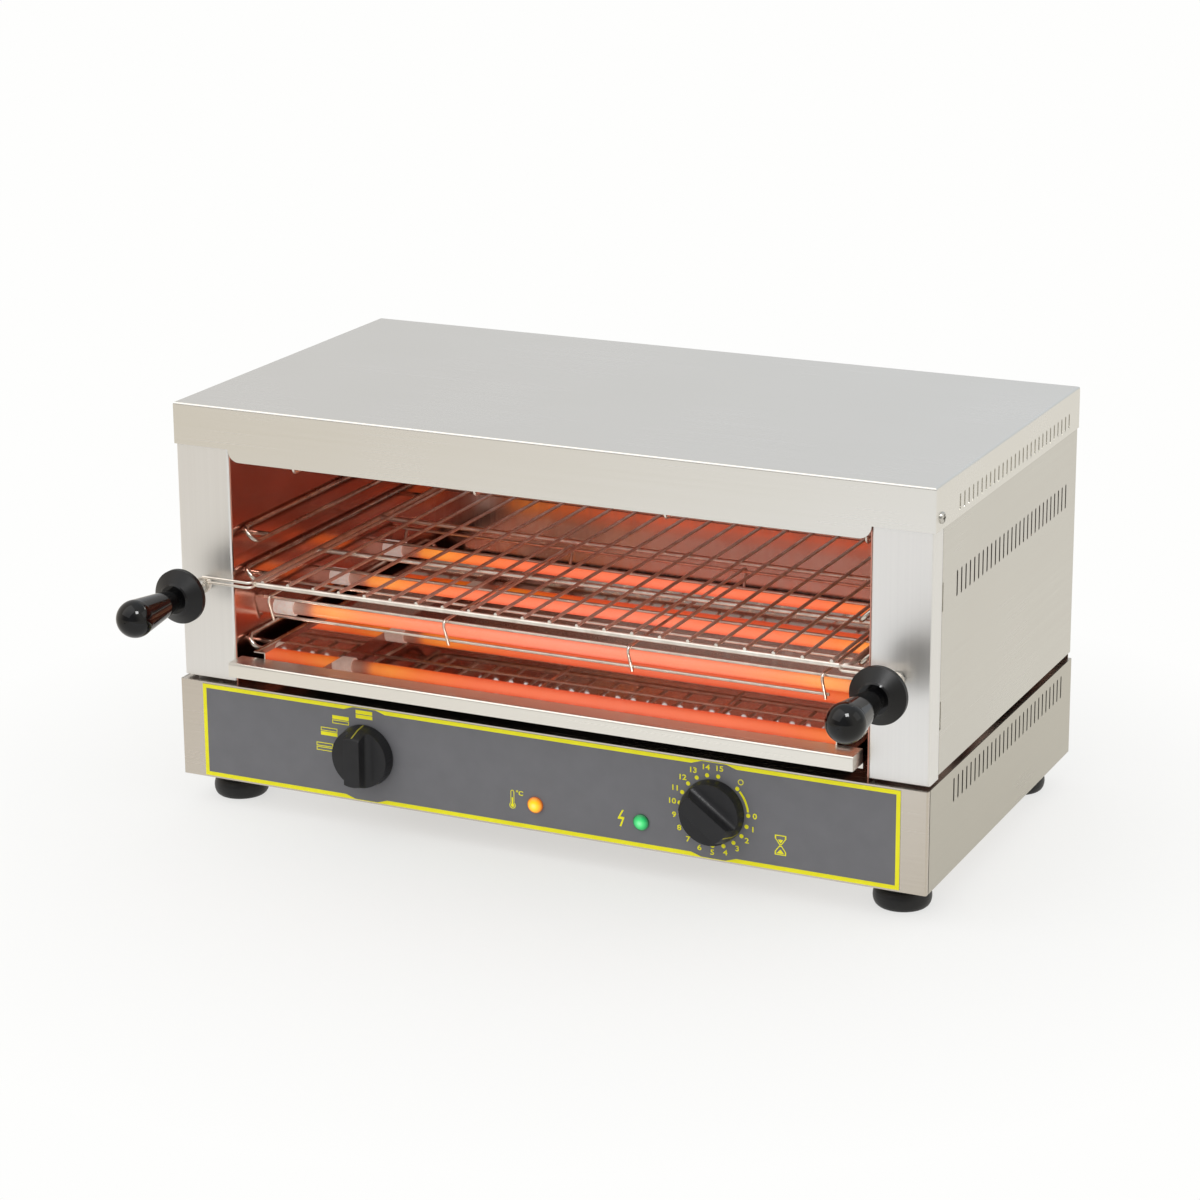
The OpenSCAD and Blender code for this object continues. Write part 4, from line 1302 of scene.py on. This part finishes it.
    def print_hourglass(self) -> None:
        """Print the hourglass: two halves drawn as a line, with sand in both."""
        half = [(-4.6, 8.0), (4.6, 8.0), (4.6, 5.2), (0.9, 0.2), (-0.9, 0.2), (-4.6, 5.2)]
        half_middle, wall = 4.6, 1.0
        loops = [[(-2.2, 4.4), (2.2, 4.4), (0.3, 1.7), (-0.3, 1.7)], [(-3.1, -6.8), (3.1, -6.8), (0.0, -3.4)]]
        for side in (1, -1):
            loops += outline([(x, side * z) for x, z in half], wall, (0.0, side * half_middle))
        self.print_loops("timer_symbol", [shifted(loop, self.hourglass_mm) for loop in loops])

    def dress(self) -> None:
        """Give the panel's solids their finishes."""
        Printed("film_printed_grey", light="#77777B", dark="#737377", roughness=0.45, grain_mm=0.7,
                relief=0.06).dress_nodes("control_overlay")
        PLATING.dress_nodes("selector_nut", "selector_shaft", "timer_nut", "timer_shaft")
        Moulded("phenolic_moulded", light="#4A4440", dark="#3A3632", roughness=0.5).dress_nodes(
            "selector_switch")
        POLYAMIDE.dress_nodes("timer", "lamp_housings")
        for colour, body, stops in (("amber", "#B85E0C", self.amber), ("green", "#0A5A34", self.green)):
            node = colour + "_lamp_lens"
            low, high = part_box(node)
            LampLens("lens_moulded_" + colour, centre=tuple((low + high) / 2), radius=(high.x - low.x) / 2,
                     stops=stops, body=body, strength=0.9).dress_nodes(node)


@dataclass
class Fittings:
    """Screws, supply and feet."""

    head_share: float = 0.5
    shank_share: float = 0.5
    dome_share: float = 0.8
    cross_share: Point = (0.62, 0.16)
    cross_depth_share: float = 0.55

    def build(self) -> None:
        """Make the screws that show, then dress the rest."""
        self.make_screws("hood_screws", Axis.ACROSS)
        self.make_screws("rear_panel_screws", Axis.DEEP)
        self.dress()

    def make_screws(self, node: str, axis: Axis) -> None:
        """Make one pan-head screw with a cross recess, and copy it to where the node's plain ones are.

        Args:
            node: The CAD node whose solids are the plain screws.
            axis: The direction in which the screws point.
        """
        boxes = solid_boxes(node)
        size = boxes[0][1] - boxes[0][0]
        radius = size.z / 2
        head = self.head_share * radius
        screw = self.pan_head(radius, head, size[axis.value] - head)
        pieces = []
        for low, high in boxes:
            place = (low + high) / 2
            outward = place[axis.value] > 0
            place[axis.value] = (high if outward else low)[axis.value]
            turn = math.radians(90.0 if outward else -90.0)
            copy = twin(screw, node + "_copy")
            copy.rotation_euler = (0.0, turn, 0.0) if axis is Axis.ACROSS else (-turn, 0.0, 0.0)
            copy.location = place
            pieces.append(settle(copy))
        bpy.data.objects.remove(screw)
        joined = join(pieces, node + "_cross_head")
        finish_piece(joined, PLATING, Body.CABINET, "bright_steel", node)

    def pan_head(self, radius: float, head: float, shank: float) -> Object:
        """Model one screw that points down, with the top of its head at the origin.

        Args:
            radius: The head's radius.
            head: The head's height.
            shank: The length of the shank below the head.

        Returns:
            The screw.
        """
        deselect()
        bpy.ops.mesh.primitive_cylinder_add(vertices=32, radius=radius, depth=head,
                                            location=(0.0, 0.0, -head / 2))
        screw = settle(named("screw"))
        self.pick_faces(screw, lambda face: face.normal.z < -0.5)
        bpy.ops.mesh.inset(thickness=(1 - self.shank_share) * radius)
        bpy.ops.mesh.extrude_region_move(TRANSFORM_OT_translate={"value": (0.0, 0.0, -shank)})
        bpy.ops.object.mode_set(mode="OBJECT")
        self.pick_faces(screw, lambda face: face.normal.z > 0.5 and face.center.z > -0.1 * head)
        bpy.ops.mesh.bevel(offset=self.dome_share * head, segments=5, affect="EDGES")
        bpy.ops.object.mode_set(mode="OBJECT")
        reach, width = (2 * share * radius for share in self.cross_share)
        for sides in ((reach, width), (width, reach)):
            deselect()
            bpy.ops.mesh.primitive_cube_add(size=1.0, location=(0.0, 0.0, 0.0))
            cutter = named("cutter")
            cutter.scale = (*sides, 2 * self.cross_depth_share * head)
            settle(cutter)
            modify(screw, "BOOLEAN", object=cutter, operation="DIFFERENCE", solver="EXACT")
            bpy.data.objects.remove(cutter)
        smooth(screw)
        return screw

    def pick_faces(self, obj: Object, wanted: Callable[[bpy.types.MeshPolygon], bool]) -> None:
        """Go into edit mode with the wanted faces of an object selected.

        Args:
            obj: The object.
            wanted: Says whether a face is selected.
        """
        pick(obj)
        bpy.ops.object.mode_set(mode="EDIT")
        bpy.ops.mesh.select_mode(type="FACE")
        bpy.ops.mesh.select_all(action="DESELECT")
        bpy.ops.object.mode_set(mode="OBJECT")
        for face in obj.data.polygons:
            face.select = wanted(face)
        bpy.ops.object.mode_set(mode="EDIT")

    def dress(self) -> None:
        """Give the small fittings their finishes."""
        PLATING.dress_nodes("foot_screws", "foot_nuts")
        POLYAMIDE.dress_nodes("terminal_block")
        Moulded("nylon_moulded_black", light="#222224", dark="#1A1A1C", roughness=0.5).dress_nodes(
            "cable_gland", "gland_nut")
        rubber = Moulded("rubber_moulded", light="#19191A", dark="#141415", roughness=0.42, grain_mm=1.2,
                         relief=0.2, gloss=0.4)
        rubber.dress_nodes("front_left_foot", "front_right_foot", "rear_left_foot", "rear_right_foot")


def main() -> None:
    """Dress the grill, piece by piece."""
    logging.basicConfig(level=logging.INFO, format="%(name)s: %(message)s")
    Studio().build()
    Cabinet().dress()
    Cavity().dress()
    SlidingGrid().dress()
    ControlPanel().build()
    Fittings().build()


if __name__ == "__main__":
    main()
